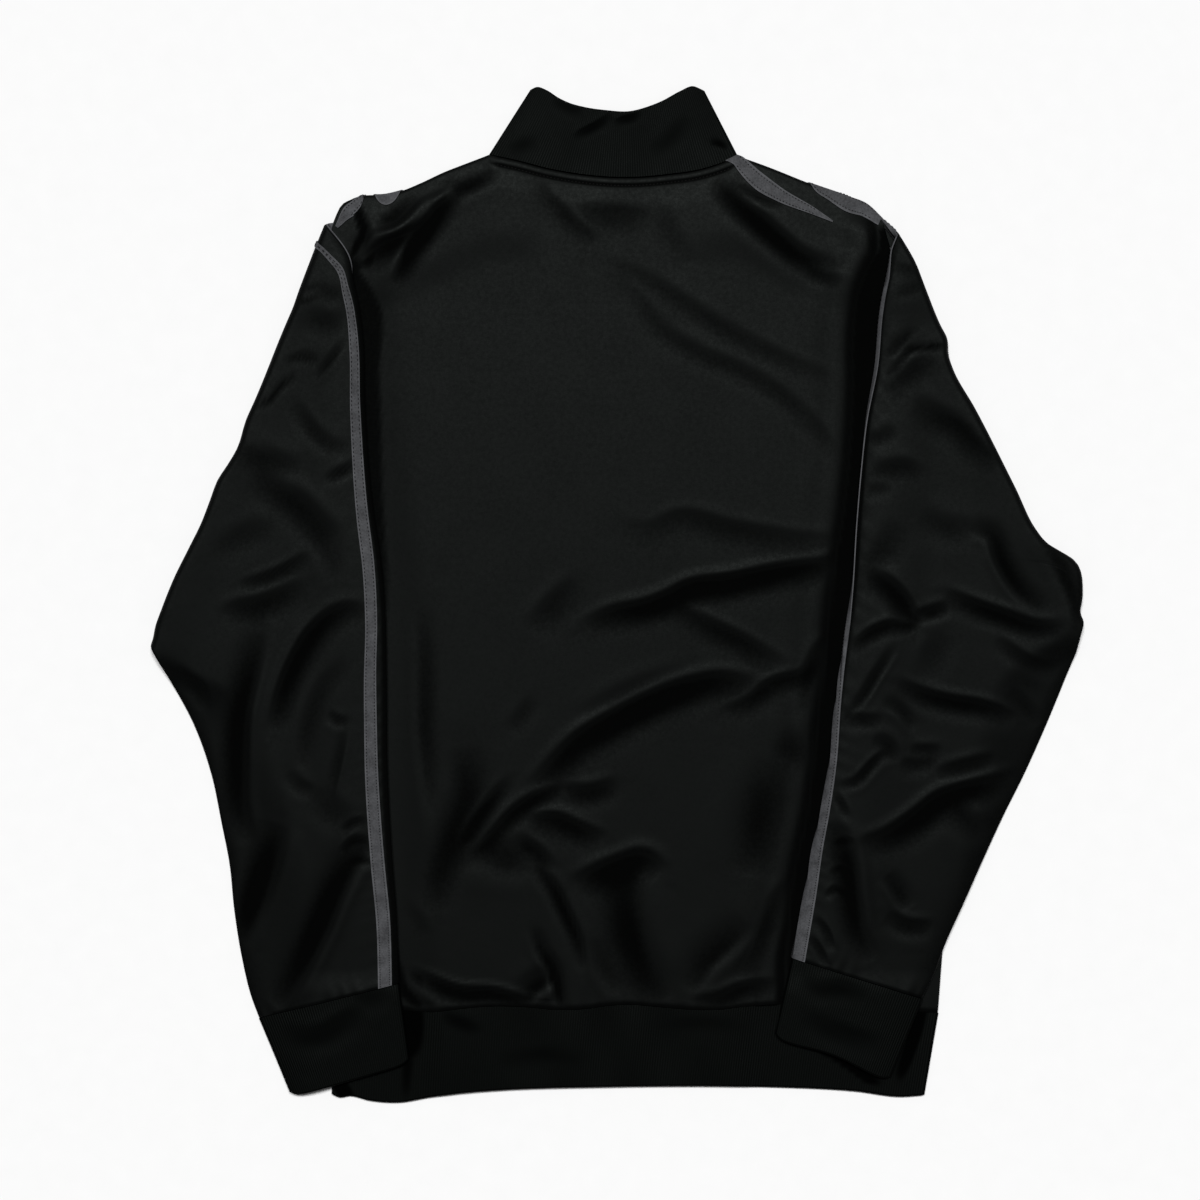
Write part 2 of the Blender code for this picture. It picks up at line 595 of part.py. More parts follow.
LEFT = Sleeve(
    side="left", corners=(SHOULDER_LEFT, (-350, -35), ARMPIT_LEFT),
    taped_edge=TAPED_LEFT,
    under_edge=[
        (-339, -68), (-322, -100), (-309, -137), (-301, -175), (-295, -206), (-291.5, -240),
        (-286, -275), (-278, -308), (-272.5, -322.6),
    ],
    outline=[(0, 0), (60, -2), (116, -2.5), (200, -2), (262, 2), (300, 1.8), (340, 2)],
    insets=[(0, 5), (1, 5)],
    body_edge=[
        (290, -420), (10, -380), (-33, -352), (-80, -275), (-130, -252), (-318, -215), (-375, -217),
    ],
    creases=[
        Crease(-2.3, 14, [(-195, -16), (-212, -12), (-230, -26), (-246, -54), (-262, -104)]),
        Crease(3.0, 15, [(-196, 4), (-220, 6), (-244, -14), (-264, -50)]),
        Crease(2.6, 14, [(-210, -44), (-232, -70), (-244, -110)]),
        Crease(-2.2, 14, [(-291, -8), (-262, 10), (-234, 29)]),
        Crease(2.6, 14, [(-300, 12), (-266, 30), (-240, 44)]),
        Crease(-2.2, 15, [(-270, 86), (-244, 70), (-225, 49)]),
        Crease(2.4, 15, [(-262, 104), (-238, 90), (-214, 66)]),
        Crease(-2.3, 13, [(-279, -48), (-285, -91), (-285, -127)]),
        Crease(2.8, 14, [(-300, -60), (-304, -110), (-300, -150)]),
        Crease(-2.3, 14, [(-260, -184), (-270, -218), (-285, -258)]),
        Crease(2.6, 14, [(-240, -190), (-252, -226), (-266, -262)]),
        Crease(-2.3, 14, [(-191, -196), (-208, -214), (-224, -251), (-241, -284), (-250, -304)]),
        Crease(3.0, 15, [(-208, -180), (-228, -214), (-246, -254), (-262, -292)]),
        Crease(2.4, 13, [(-186, -222), (-200, -252), (-214, -284)]),
        Crease(-2.2, 11, [(-276, 144), (-261, 155), (-248, 165)]),
    ],
)

RIGHT = Sleeve(
    side="right", corners=(SHOULDER_RIGHT, (350, -14.5), ARMPIT_RIGHT),
    taped_edge=TAPED_RIGHT,
    under_edge=[
        (340, -66), (326, -100), (309, -138), (293, -170), (278, -202), (262.6, -236), (249, -266),
        (240, -290), (231.4, -307.4),
    ],
    outline=[
        (0, 0), (42, 5), (59, 1.6), (93, -2.5), (127, -8), (161, -6.3), (229, -5.7), (263, -6),
        (280, 0.6), (297, 9), (314, 7), (335, 2),
    ],
    insets=[(0, -9.5), (0.5, -9.5), (0.575, -7.7), (0.73, -5.5), (0.88, -3.1), (1, -2)],
    body_edge=[
        (290, 420), (14, 380), (-12, 356), (-60, 284), (-110, 264), (-280, 247), (-319, 244),
        (-340, 241), (-360, 236),
    ],
    creases=[
        Crease(-2.2, 12, [(206, 161), (222, 177), (241, 184)]),
        Crease(2.4, 12, [(204, 184), (222, 198), (240, 202)]),
        Crease(-2.2, 15, [(233, 142), (259, 129), (288, 101)]),
        Crease(2.4, 15, [(226, 122), (252, 108), (276, 84)]),
        Crease(-2.3, 14, [(193, 12), (214, -5), (225, -23)]),
        Crease(3.2, 14, [(196, 34), (224, 18), (242, 10)]),
        Crease(-2.3, 13, [(225, -23), (250, -11), (293, -17), (338, -26)]),
        Crease(3.0, 14, [(246, 12), (284, 2), (318, -6)]),
        Crease(3.0, 14, [(238, -34), (280, -38), (320, -46)]),
        Crease(-2.3, 13, [(271, 48), (288, 38), (307, 1), (324, -12)]),
        Crease(2.8, 13, [(292, 60), (308, 34), (326, 8)]),
        Crease(-2.2, 13, [(218, -72), (244, -80), (277, -86), (301, -94)]),
        Crease(2.8, 14, [(214, -94), (248, -102), (290, -110)]),
        Crease(-2.3, 15, [(299, -142), (262, -150), (226, -171), (188, -191)]),
        Crease(3.2, 15, [(286, -120), (250, -130), (216, -148), (186, -166)]),
        Crease(3.0, 15, [(270, -172), (236, -190), (210, -212)]),
        Crease(-2.3, 13, [(161, -179), (174, -200), (181, -250), (192, -276)]),
        Crease(2.8, 13, [(196, -206), (202, -246), (212, -276)]),
    ],
)


def sleeve_rows():
    """Shares v from armhole to cuff, close together where the tapes turn over the fold."""
    rest = [(k + 1) / LONG_ROWS for k in range(LONG_ROWS)]
    long_rows = [TURNING + (1 - TURNING) * t**ROW_CROWD for t in rest]
    return spread(0, TURNING, TURNING_ROWS) + [TURNING] + long_rows


for sleeve in (LEFT, RIGHT):
    rings = [(v, sleeve.ring(v)) for v in sleeve_rows()]
    outer, inner = (
        [[sleeve.point(v, c, out) for c in ring] for v, ring in rings] for out in (CLOTH / 2, -CLOTH / 2)
    )
    wall("sleeve_" + sleeve.side, outer, inner, True, BLACK)

    front_marks = slice(7, 10) if sleeve is LEFT else slice(4, 10)
    for name, columns in (("back", slice(0, 4)), ("front", front_marks)):
        lower, upper = (
            [[sleeve.point(v, c, CLOTH / 2 + out) for c in sleeve.marks(v)[columns]] for v, ring in rings]
            for out in (SEAM, SEAM + TAPE)
        )
        wall("tape_sleeve_%s_%s" % (name, sleeve.side), upper, lower, False, GREY)


# ---- rib cuffs, hem band and collar ----

TURN_MARKS = 5
# The cuffs and the collar are full this far inside both their edges.
CUFF_FULL, COLLAR_FULL = 10, 14
RIB_RADIUS = (RIB + LAYER_GAP) / 2
RIB_ARC = math.pi * RIB_RADIUS / 2


def turn_places(middle):
    """Places round one edge of a flattened rib tube."""
    return [middle + RIB_ARC * (2 * k / (TURN_MARKS - 1) - 1) for k in range(TURN_MARKS)]


def first_run(places, width):
    """Places round the ring for places across it, on its first straight run."""
    return [RIB_ARC + width - RIB_RADIUS - place for place in sorted(places, reverse=True)]


def second_run(places, width):
    return [3 * RIB_ARC + width - 3 * RIB_RADIUS + place for place in sorted(places)]


CUFF_COLUMNS = 6
CUFFS = {
    "left": (LEFT, (-272.3, -323.0), (-166.9, -296.6), (-247.4, -382.5), (-158.5, -357.0)),
    "right": (RIGHT, (231.3, -308.0), (133.5, -277.6), (205.6, -370.5), (119.7, -338.0)),
}

for side, (sleeve, seam_far, seam_taped, end_far, end_taped) in CUFFS.items():
    width = math.dist(seam_far, seam_taped)
    across_places = np.linspace(RIB_RADIUS, width - RIB_RADIUS, CUFF_COLUMNS + 2)[1:-1]
    ring = (
        turn_places(0.0) + first_run(across_places, width)
        + turn_places(2 * RIB_ARC + width - 2 * RIB_RADIUS) + second_run(across_places, width)
    )

    def cuff_point(c, down, out):
        across, rise, out_across, out_rise = flat_ring(c, width, RIB_RADIUS)
        share = (across + out * out_across) / width
        far = np.array(seam_far) + (np.array(end_far) - seam_far) * down
        taped = np.array(seam_taped) + (np.array(end_taped) - seam_taped) * down
        x, y = far + (taped - far) * share
        upper = (RIB_RADIUS - rise) / (2 * RIB_RADIUS)
        full = RIB_PUFF * (1 - math.exp(-min(across, width - across) / CUFF_FULL))
        return x, y, sleeve.rest_height(x, y) + RIB_STACK / 2 - rise - out * out_rise + upper * full

    outer, inner = (
        [[cuff_point(c, k / (RIB_ROWS - 1), out) for c in ring] for k in range(RIB_ROWS)]
        for out in (RIB / 2, -RIB / 2)
    )
    wall("cuff_" + side, outer, inner, True, RIB_BLACK)

BAND_LEFT_X, BAND_RIGHT_X = -217.0, 233.0
# The band is pressed flat under the cuffs, and grows full between them over this run.
LEFT_CUFF_X, RIGHT_CUFF_X, CUFF_RUN = -152, 112, 24
band_foot = Edge([
    (BAND_LEFT_X, -375), (-204, -381.5), (-189, -385.5), (-167, -387), (-140, -382.5), (-119, -379.8),
    (-89, -377.4), (-13, -375), (108, -375), (181, -378.4), (217, -382.6), (BAND_RIGHT_X, -381.5),
])


def strip_ring(upper_places, lower_places, slot_places, width):
    """The places of a strip that runs from one side of the zip all round to the other."""
    left_end, right_end = slot_places
    round_trip = 4 * RIB_ARC + 2 * (width - 2 * RIB_RADIUS)
    to_left = first_run([place for place in lower_places if place < left_end] + [left_end], width)
    to_right = first_run([place for place in lower_places if place > right_end] + [right_end], width)
    return (
        to_left + turn_places(2 * RIB_ARC + width - 2 * RIB_RADIUS) + second_run(upper_places, width)
        + [place + round_trip for place in turn_places(0.0) + to_right]
    )


BAND_WIDTH = HEM_RIGHT.x - HEM_LEFT.x


def band_point(c, down, out):
    across, rise, out_across, out_rise = flat_ring(c, BAND_WIDTH, RIB_RADIUS)
    share = (across + out * out_across) / BAND_WIDTH
    seam_x = HEM_LEFT.x + share * BAND_WIDTH
    foot_x = BAND_LEFT_X + share * (BAND_RIGHT_X - BAND_LEFT_X)
    x = seam_x + (foot_x - seam_x) * down
    y = (1 - down) * (hem_seam.at(seam_x) - SEAM) + down * band_foot.at(foot_x)
    upper = (RIB_RADIUS + rise) / (2 * RIB_RADIUS)
    between_cuffs = smooth((x - LEFT_CUFF_X) / CUFF_RUN) * smooth((RIGHT_CUFF_X - x) / CUFF_RUN)
    return x, y, RIB_STACK / 2 + rise + out * out_rise + upper * RIB_PUFF * between_cuffs


zip_place = ZIP_HEM_X - HEM_LEFT.x
band_ring = strip_ring(
    [x - HEM_LEFT.x for x in hem_marks[1:-1]],
    [BAND_WIDTH * share for share in (0.1, 0.2, 0.3, 0.4, 0.6, 0.7, 0.8, 0.9)],
    (zip_place - ZIP_SLOT / 2, zip_place + ZIP_SLOT / 2), BAND_WIDTH,
)
outer, inner = (
    [[band_point(c, k / (RIB_ROWS - 1), out) for c in band_ring] for k in range(RIB_ROWS)]
    for out in (RIB / 2, -RIB / 2)
)
wall("hem_band", outer, inner, False, RIB_BLACK)

COLLAR_LEFT, COLLAR_RIGHT = Point(-65.7, 383.5), Point(65.7, 382.5)
COLLAR_WIDTH = NECK_RIGHT.x - NECK_LEFT.x
# The strip narrows towards the collar's top, so its slot for the zip is cut wider at the seam.
COLLAR_SLOT = ZIP_SLOT * COLLAR_WIDTH / (COLLAR_RIGHT.x - COLLAR_LEFT.x) + 0.4
collar_top = Edge([
    (COLLAR_LEFT.x, COLLAR_LEFT.y), (-62, 385), (-54, 382.6), (-45, 376.8), (-37, 373), (-25, 369.7),
    (-10, 367.5), (11, 366.8), (22, 369.7), (34, 374.4), (48, 382), (57, 385.6),
    (COLLAR_RIGHT.x, COLLAR_RIGHT.y),
])
COLLAR_CREASES = [
    Crease(-1.6, 7, [(-34, 345), (-18, 354), (-4, 365)]),
    Crease(-1.2, 6, [(0, 357), (16, 365)]),
    Crease(1.6, 9, [(-46, 356), (-26, 366)]),
    Crease(1.2, 9, [(-6, 346), (14, 350)]),
]


def collar_front_top(x):
    """The top edge of the collar's front halves, which dips to the zip under the back."""
    centre = zip_x(FRONT_NECK_Y)
    tip = COLLAR_LEFT if x < centre else COLLAR_RIGHT
    share = min(abs((x - centre) / (tip.x - centre)), 1.0)
    low = FRONT_NECK_Y + COLLAR_FRONT_HEIGHT
    return low + (tip.y - low) * (1 - math.sqrt(max(1 - share**NECK_CURVE, 0.0)))


# The ring turns from the collar's front halves to its back half within this share of its height.
TURN_SHARE = 1 / 7


def collar_point(c, up, out):
    across, rise, out_across, out_rise = flat_ring(c, COLLAR_WIDTH, RIB_RADIUS)
    share = (across + out * out_across) / COLLAR_WIDTH
    seam_x = NECK_LEFT.x + share * COLLAR_WIDTH
    top_x = COLLAR_LEFT.x + share * (COLLAR_RIGHT.x - COLLAR_LEFT.x)
    upper = (RIB_RADIUS + rise) / (2 * RIB_RADIUS)
    back_y = (1 - up) * neck_back.at(seam_x) + up * collar_top.at(top_x)
    front_y = (1 - up) * front_neck(seam_x) + up * collar_front_top(top_x)
    behind = min(upper / TURN_SHARE, 1.0)
    x, y = seam_x + (top_x - seam_x) * up, back_y * behind + front_y * (1 - behind)
    inside = min(across, COLLAR_WIDTH - across)
    full = (RIB_PUFF + crease_height(COLLAR_CREASES, x, y)) * (1 - math.exp(-inside / COLLAR_FULL))
    return x, y, RIB_STACK / 2 + rise + out * out_rise + upper * full + tape_lift(x, y)


neck_places = [x - NECK_LEFT.x for x in neck_marks[1:-1]]
neck_zip = zip_x(FRONT_NECK_Y) - NECK_LEFT.x
collar_ring = strip_ring(
    neck_places, [place for place in neck_places if abs(place - neck_zip) > ZIP_ROOM],
    (neck_zip - COLLAR_SLOT / 2, neck_zip + COLLAR_SLOT / 2), COLLAR_WIDTH,
)
outer, inner = (
    [[collar_point(c, k / RIB_ROWS, out) for c in collar_ring] for k in range(RIB_ROWS + 1)]
    for out in (RIB / 2, -RIB / 2)
)
wall("collar", outer, inner, False, RIB_BLACK)

# ---- shoulder tapes ----

TAPE_COLUMNS = 9
TAPE_START, TAPE_STOP = 0.02, 0.95
TAPE_ROOM = 0.45
# A tape turns squarely round the shoulder's edge, and stands a little further off the cloth there.
WRAP_ROOM, SQUARER = 0.6, 1.3
# The wrap reads its heights this far inside the edge, and its slope this far to each side.
BRINK, SLOPE_REACH, LEAST_INSET = 1.5, 2, 0.5

# How far inside the body's outline, on its upper face, the shoulder line lies; less than 0 is under it.
shoulder_roll = {
    "left": Edge([(0, -19), (0.42, -19), (0.6, -12), (0.72, -9), (0.82, -10), (1, -5)]),
    "right": Edge([(0, -7), (0.15, -3.5), (0.3, 2.7), (0.49, 8), (0.69, 11.7), (1, 13)]),
}


def surface_of(name):
    piece = bpy.data.objects[name]
    return BVHTree.FromPolygons(
        [vertex.co for vertex in piece.data.vertices], [face.vertices for face in piece.data.polygons]
    )


def height_on(surface, x, y, above):
    """The height of a piece's upper or lower face at a plan point, in millimetres, or None off it."""
    start = ((x - CENTRE_X) * MM, (y - CENTRE_Y) * MM, 1.0 if above else -1.0)
    hit = surface.ray_cast(start, (0, 0, -1 if above else 1))
    return hit[0].z / MM if hit[0] else None


outline_marks = [body_top(x) for x in top_marks]
back_surface = surface_of("back")
for side, neck, tip in (("left", NECK_LEFT, SHOULDER_LEFT), ("right", NECK_RIGHT, SHOULDER_RIGHT)):
    front_surface = surface_of("front_" + side)

    def shoulder_point(t, s, out):
        """A point over the shoulder: s from its edge, inward on top, or underneath where less than 0."""
        x = neck.x + (tip.x - neck.x) * t
        edge = np.array([x, np.interp(x, top_marks, outline_marks)])
        before, after = np.interp((x - SLOPE_REACH, x + SLOPE_REACH), top_marks, outline_marks)
        slope = (after - before) / (2 * SLOPE_REACH)
        inward = np.array([slope, -1.0]) / math.hypot(slope, 1)
        brink = edge + inward * BRINK
        top = height_on(back_surface, *brink, True) or back_low(*brink) + CLOTH
        base = height_on(front_surface, *brink, False) or tape_lift(*brink)
        middle, half = (top + base) / 2, (top - base) / 2
        turn = half * math.pi / 2
        if abs(s) < turn:
            angle = s / half
            away = edge - inward * (half + out + WRAP_ROOM) * math.cos(angle)
            rise = min(max(SQUARER * math.sin(angle), -1.0), 1.0)
            return (*away, middle + (half + out) * rise)
        x, y = edge + inward * max(abs(s) - turn, LEAST_INSET)
        if s > 0:
            return x, y, (height_on(back_surface, x, y, True) or top) + out
        return x, y, (height_on(front_surface, x, y, False) or base) - out

    for name, offset in (("back", TAPE_GAP / 2), ("front", -TAPE_GAP / 2 - TAPE_WIDTH)):
        between = [k / (2 * SHOULDER_COLUMNS) for k in range(1, 2 * SHOULDER_COLUMNS)]
        rows = [TAPE_START] + between + [TAPE_STOP]
        places = [TAPE_WIDTH * k / (TAPE_COLUMNS - 1) for k in range(TAPE_COLUMNS)]
        spots = [[(t, shoulder_roll[side].at(t) + offset + place) for place in places] for t in rows]
        upper, lower = (
            [[shoulder_point(t, s, out) for t, s in line] for line in spots]
            for out in (TAPE_ROOM + TAPE, TAPE_ROOM)
        )
        wall("tape_shoulder_%s_%s" % (name, side), upper, lower, False, GREY)

# ---- zip ----

ZIP_FOOT_Y = BAND_FOOT_Y + 1.0
CHAIN_TOP_Y, ZIP_TOP_Y = 284.0, FRONT_NECK_Y + COLLAR_FRONT_HEIGHT - 3.0
# The zip's tapes step up onto the band below the first height and onto the collar above the second.
RIB_BELOW_Y, RIB_ABOVE_Y, RIB_STEP = -297, 231, 12
zip_rows = [
    ZIP_FOOT_Y, -345, ZIP_HEM_Y, RIB_BELOW_Y - RIB_STEP, RIB_BELOW_Y, -200, -100, 0, 100, 200,
    RIB_ABOVE_Y, RIB_ABOVE_Y + RIB_STEP, FRONT_NECK_Y, 265,
]


def zip_tape_low(y):
    """The zip's tapes lie on the fronts' inner face, and step up over the thicker ribs."""
    on_rib = smooth((RIB_BELOW_Y - y) / RIB_STEP) + smooth((y - RIB_ABOVE_Y) / RIB_STEP)
    return CLOTH + SEAM + (RIB - CLOTH) * on_rib + tape_lift(zip_x(y), y)


for side, sign in (("left", -1), ("right", 1)):
    rows = zip_rows + [ZIP_TOP_Y]

    def zip_tape_plan(row, column):
        inner = CHAIN_WIDTH / 2 + ZIP_CLEAR
        return Point(zip_x(rows[row]) + sign * (inner + ZIP_TAPE_WIDTH * column), rows[row])

    sheet("zip_tape_" + side, zip_tape_plan, lambda x, y: zip_tape_low(y), ZIP_TAPE, BLACK, len(rows), 2)


def chain_plan(row, column):
    rows = zip_rows + [CHAIN_TOP_Y]
    return Point(zip_x(rows[row]) + CHAIN_WIDTH * (column - 0.5), rows[row])


sheet("zip_chain", chain_plan, lambda x, y: CHAIN_LOW, CHAIN_HIGH - CHAIN_LOW, METAL, len(zip_rows) + 1, 2)

# The slider stands at the top of the chain, and its tab lies flat under the chain, in the zip's slot.
SLIDER_HIGH, TAB_HIGH, SLIDER_LOW = 3.0, 1.0, 0.1
TAB_LENGTH, TAB_END, SLIDER_START, SLIDER_END = 20, 0.6, 1.0, 3
slider_rows = [
    (CHAIN_TOP_Y - TAB_LENGTH, TAB_HIGH), (CHAIN_TOP_Y + TAB_END, TAB_HIGH),
    (CHAIN_TOP_Y + SLIDER_START, SLIDER_HIGH), (ZIP_TOP_Y - SLIDER_END, SLIDER_HIGH),
]
slider_top = [
    [(zip_x(y) + x, y, top) for x in (-CHAIN_WIDTH / 2, CHAIN_WIDTH / 2)] for y, top in slider_rows
]
slider_foot = [[(x, y, SLIDER_LOW) for x, y, z in line] for line in slider_top]
wall("zip_slider", slider_top, slider_foot, False, METAL)
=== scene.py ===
"""Track jacket laid flat on its front, back up, with both sleeves folded in over the back."""

import math

import bpy
import numpy as np
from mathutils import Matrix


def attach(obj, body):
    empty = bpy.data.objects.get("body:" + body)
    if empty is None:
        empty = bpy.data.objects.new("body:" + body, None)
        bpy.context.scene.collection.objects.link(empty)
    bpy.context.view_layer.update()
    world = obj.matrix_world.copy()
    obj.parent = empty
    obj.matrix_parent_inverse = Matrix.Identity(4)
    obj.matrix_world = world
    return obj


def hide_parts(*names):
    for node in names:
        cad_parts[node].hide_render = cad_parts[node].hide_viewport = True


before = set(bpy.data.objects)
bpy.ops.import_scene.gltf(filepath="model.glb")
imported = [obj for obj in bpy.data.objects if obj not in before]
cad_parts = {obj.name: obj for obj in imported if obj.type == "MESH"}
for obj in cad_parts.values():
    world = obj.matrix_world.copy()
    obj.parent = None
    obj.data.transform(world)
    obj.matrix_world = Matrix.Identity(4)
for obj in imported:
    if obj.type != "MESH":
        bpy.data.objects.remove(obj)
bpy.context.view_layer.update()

# ---- The table, the lamps and the view ----
# The jacket lies on a pale table under two broad soft lamps, far above it and a little beyond the
# collar to the left and right. It is seen from straight above with a long lens.

bpy.ops.object.select_all(action="DESELECT")
VIEW_WIDTH, LENS, SENSOR = 0.912, 85.0, 36.0
VIEW_X, VIEW_Y, MID_LAYER, CLIP_END = -0.0149, -0.0038, 0.007, 30.0
view_height = MID_LAYER + VIEW_WIDTH * LENS / SENSOR
bpy.ops.object.camera_add(location=(VIEW_X, VIEW_Y, view_height), rotation=(0, 0, 0))
camera = bpy.context.object
camera.name = "camera"
camera.data.lens = LENS
camera.data.sensor_width = SENSOR
camera.data.clip_end = CLIP_END
bpy.context.scene.camera = camera
bpy.context.scene.view_settings.view_transform = "Standard"

LAMPS = (
    # name, x, y, z, strength
    ("lamp_left", -1.1, 2.0, 5.6, 1.62),
    ("lamp_right", 0.9, 2.1, 5.6, 1.62),
)
LAMP_BREADTH, ROOM_LIGHT = 14.0, 0.10
for name, x, y, z, strength in LAMPS:
    bpy.ops.object.light_add(type="SUN", location=(x, y, z))
    lamp = bpy.context.object
    lamp.name = name
    lamp.data.angle = math.radians(LAMP_BREADTH)
    lamp.data.energy = strength
    lamp.rotation_euler = lamp.location.to_track_quat("Z", "Y").to_euler()

world = bpy.data.worlds.new("studio")
world.use_nodes = True
background = world.node_tree.nodes["Background"]
background.inputs["Color"].default_value = (1, 1, 1, 1)
background.inputs["Strength"].default_value = ROOM_LIGHT
bpy.context.scene.world = world

TABLE_SIZE, TABLE_DROP = 8.0, 0.0003
bpy.ops.mesh.primitive_plane_add(size=TABLE_SIZE, location=(0, 0, -TABLE_DROP))
table = bpy.context.object
table.name = "table"


class Shade:
    """A shader socket. Python's operators on it add Math nodes, and node() adds any other node."""

    def __init__(self, tree, socket=None):
        self.tree = tree
        self.socket = socket

    def node(self, kind, settings=None, sockets=None, output=0):
        made = self.tree.nodes.new(kind)
        for key, value in (settings or {}).items():
            setattr(made, key, value)
        for key, value in (sockets or {}).items():
            if isinstance(value, Shade):
                self.tree.links.new(value.socket, made.inputs[key])
            else:
                made.inputs[key].default_value = value
        return Shade(self.tree, made.outputs[output])

    def maths(self, operation, first, second):
        return self.node("ShaderNodeMath", {"operation": operation}, {0: first, 1: second})

    def __add__(self, other):
        return self.maths("ADD", self, other)

    def __sub__(self, other):
        return self.maths("SUBTRACT", self, other)

    def __rsub__(self, other):
        return self.maths("SUBTRACT", other, self)

    def __mul__(self, other):
        return self.maths("MULTIPLY", self, other)

    __radd__ = __add__
    __rmul__ = __mul__


def finish_of(name, values):
    """A new material, its Principled node with the plain values set, and a Shade to add nodes with."""
    material = bpy.data.materials.new(name)
    material.use_nodes = True
    principled = material.node_tree.nodes["Principled BSDF"]
    for key, value in values.items():
        principled.inputs[key].default_value = value
    return material, principled, Shade(material.node_tree)


def link(shade, principled, name):
    shade.tree.links.new(shade.socket, principled.inputs[name])


def noise(place, scale, detail=2.0):
    return place.node("ShaderNodeTexNoise", sockets={"Vector": place, "Scale": scale, "Detail": detail})


def blend(factor, first, second):
    """The first colour where the factor is 0, the second where it is 1."""
    colours = {"Factor": factor, 6: (*first, 1), 7: (*second, 1)}
    return factor.node("ShaderNodeMix", {"data_type": "RGBA"}, colours, output=2)


table_finish, principled, shade = finish_of("pale_table", {"Roughness": 0.85})
place = shade.node("ShaderNodeTexCoord", output="Object")
link(blend(noise(place, scale=60.0), (0.90, 0.90, 0.90), (0.93, 0.93, 0.93)), principled, "Base Color")
table.data.materials.append(table_finish)

# ---- Back panel ----
# One panel of satin-faced warp-knit polyester, from the shoulders and neck seam down to the hem
# band. It lies on the fronts, full between the sleeves and pressed flat under them, and it has the
# jacket's largest creases. The plan is in millimetres, X to the wearer's right and Y to the collar.

CENTRE_X, CENTRE_Y = 1.594, -1.112
CLOTH, SEAM, LAYER_GAP, TAPE_LIFT = 1.2, 0.3, 0.5, 1.4
BACK_LENGTH, BACK_PUFF, BACK_ROLL, NECK_LIFT, FLOOR_GAP = 600.0, 2.4, 3.6, 0.9, 0.25
SHOULDER_LEFT, SHOULDER_RIGHT = (-216.5, 281.0), (200.7, 285.5)
ARMPIT_LEFT, ARMPIT_RIGHT = (-279.0, 10.0), (279.0, 14.0)
HEM_LEFT, HEM_RIGHT = (-214.7, -318.0), (243.6, -319.0)
NECK_LEFT, NECK_RIGHT = (-96.9, 334.0), (90.8, 333.0)
EDGE_PLACES, MERGE_WITHIN = (0.0, 0.7, 1.6, 2.8, 4.2, 5.4, 6.0, 6.6, 7.2, 8.0), 1e-6


def smooth(share):
    """A soft step from 0 to 1 as share goes from 0 to 1."""
    share = np.clip(share, 0.0, 1.0)
    return share * share * (3 - 2 * share)


def between(place, low, high, ramp):
    """1 between low and high, with a soft step up inside each."""
    return smooth((place - low) / ramp) * smooth((high - place) / ramp)


def bell(away):
    """1 at no distance away, and nearly 0 at twice the width that the distance is given in."""
    return np.exp(-(away**2))


def gathered(place, pitch, sway, sway_pitch):
    """Uneven waves along a row of places, between -1 and 1."""
    return np.sin(place / pitch + sway * np.sin(place / sway_pitch))


def eased(t, start, end, leave, arrive):
    """A cubic from start to end as t goes from 0 to 1, which leaves and arrives at given slopes."""
    return (
        start * (1 + t * t * (2 * t - 3)) + leave * t * (1 - t) ** 2
        + end * t * t * (3 - 2 * t) - arrive * t * t * (1 - t)
    )


class Edge:
    """One plan coordinate as a smooth function of the other, through a short table."""

    def __init__(self, table):
        rows = sorted(table)
        self.keys = np.array([key for key, value in rows], float)
        self.values = np.array([value for key, value in rows], float)
        self.slopes = np.gradient(self.values, self.keys)

    def at(self, key):
        key = np.clip(key, self.keys[0], self.keys[-1])
        k = np.clip(np.searchsorted(self.keys, key) - 1, 0, len(self.keys) - 2)
        step = self.keys[k + 1] - self.keys[k]
        t = (key - self.keys[k]) / step
        leave, arrive = self.slopes[k] * step, self.slopes[k + 1] * step
        return eased(t, self.values[k], self.values[k + 1], leave, arrive)


class Line:
    """A smooth line through plan points, read at a share of its length."""

    def __init__(self, points):
        self.points = np.array(points, float)
        steps = np.linalg.norm(np.diff(self.points, axis=0), axis=1)
        self.places = np.concatenate([[0.0], np.cumsum(steps)])
        self.length = float(self.places[-1])
        self.slopes = np.gradient(self.points, self.places, axis=0)

    def at(self, share):
        place = np.clip(share, 0.0, 1.0) * self.length
        k = np.clip(np.searchsorted(self.places, place) - 1, 0, len(self.points) - 2)
        step = (self.places[k + 1] - self.places[k])[..., None]
        t = (place - self.places[k])[..., None] / step
        leave, arrive = self.slopes[k] * step, self.slopes[k + 1] * step
        return eased(t, self.points[k], self.points[k + 1], leave, arrive)


RIDGE, RIDGE_PLACE, RIDGE_WIDTH, CREASE_REACH = 0.21, 1.7, 0.85, 3.6
WIDER_BELOW, NARROWER_ABOVE, CREASE_FADE, SIDE_TILT = 0.9, 0.35, 0.7, 0.35


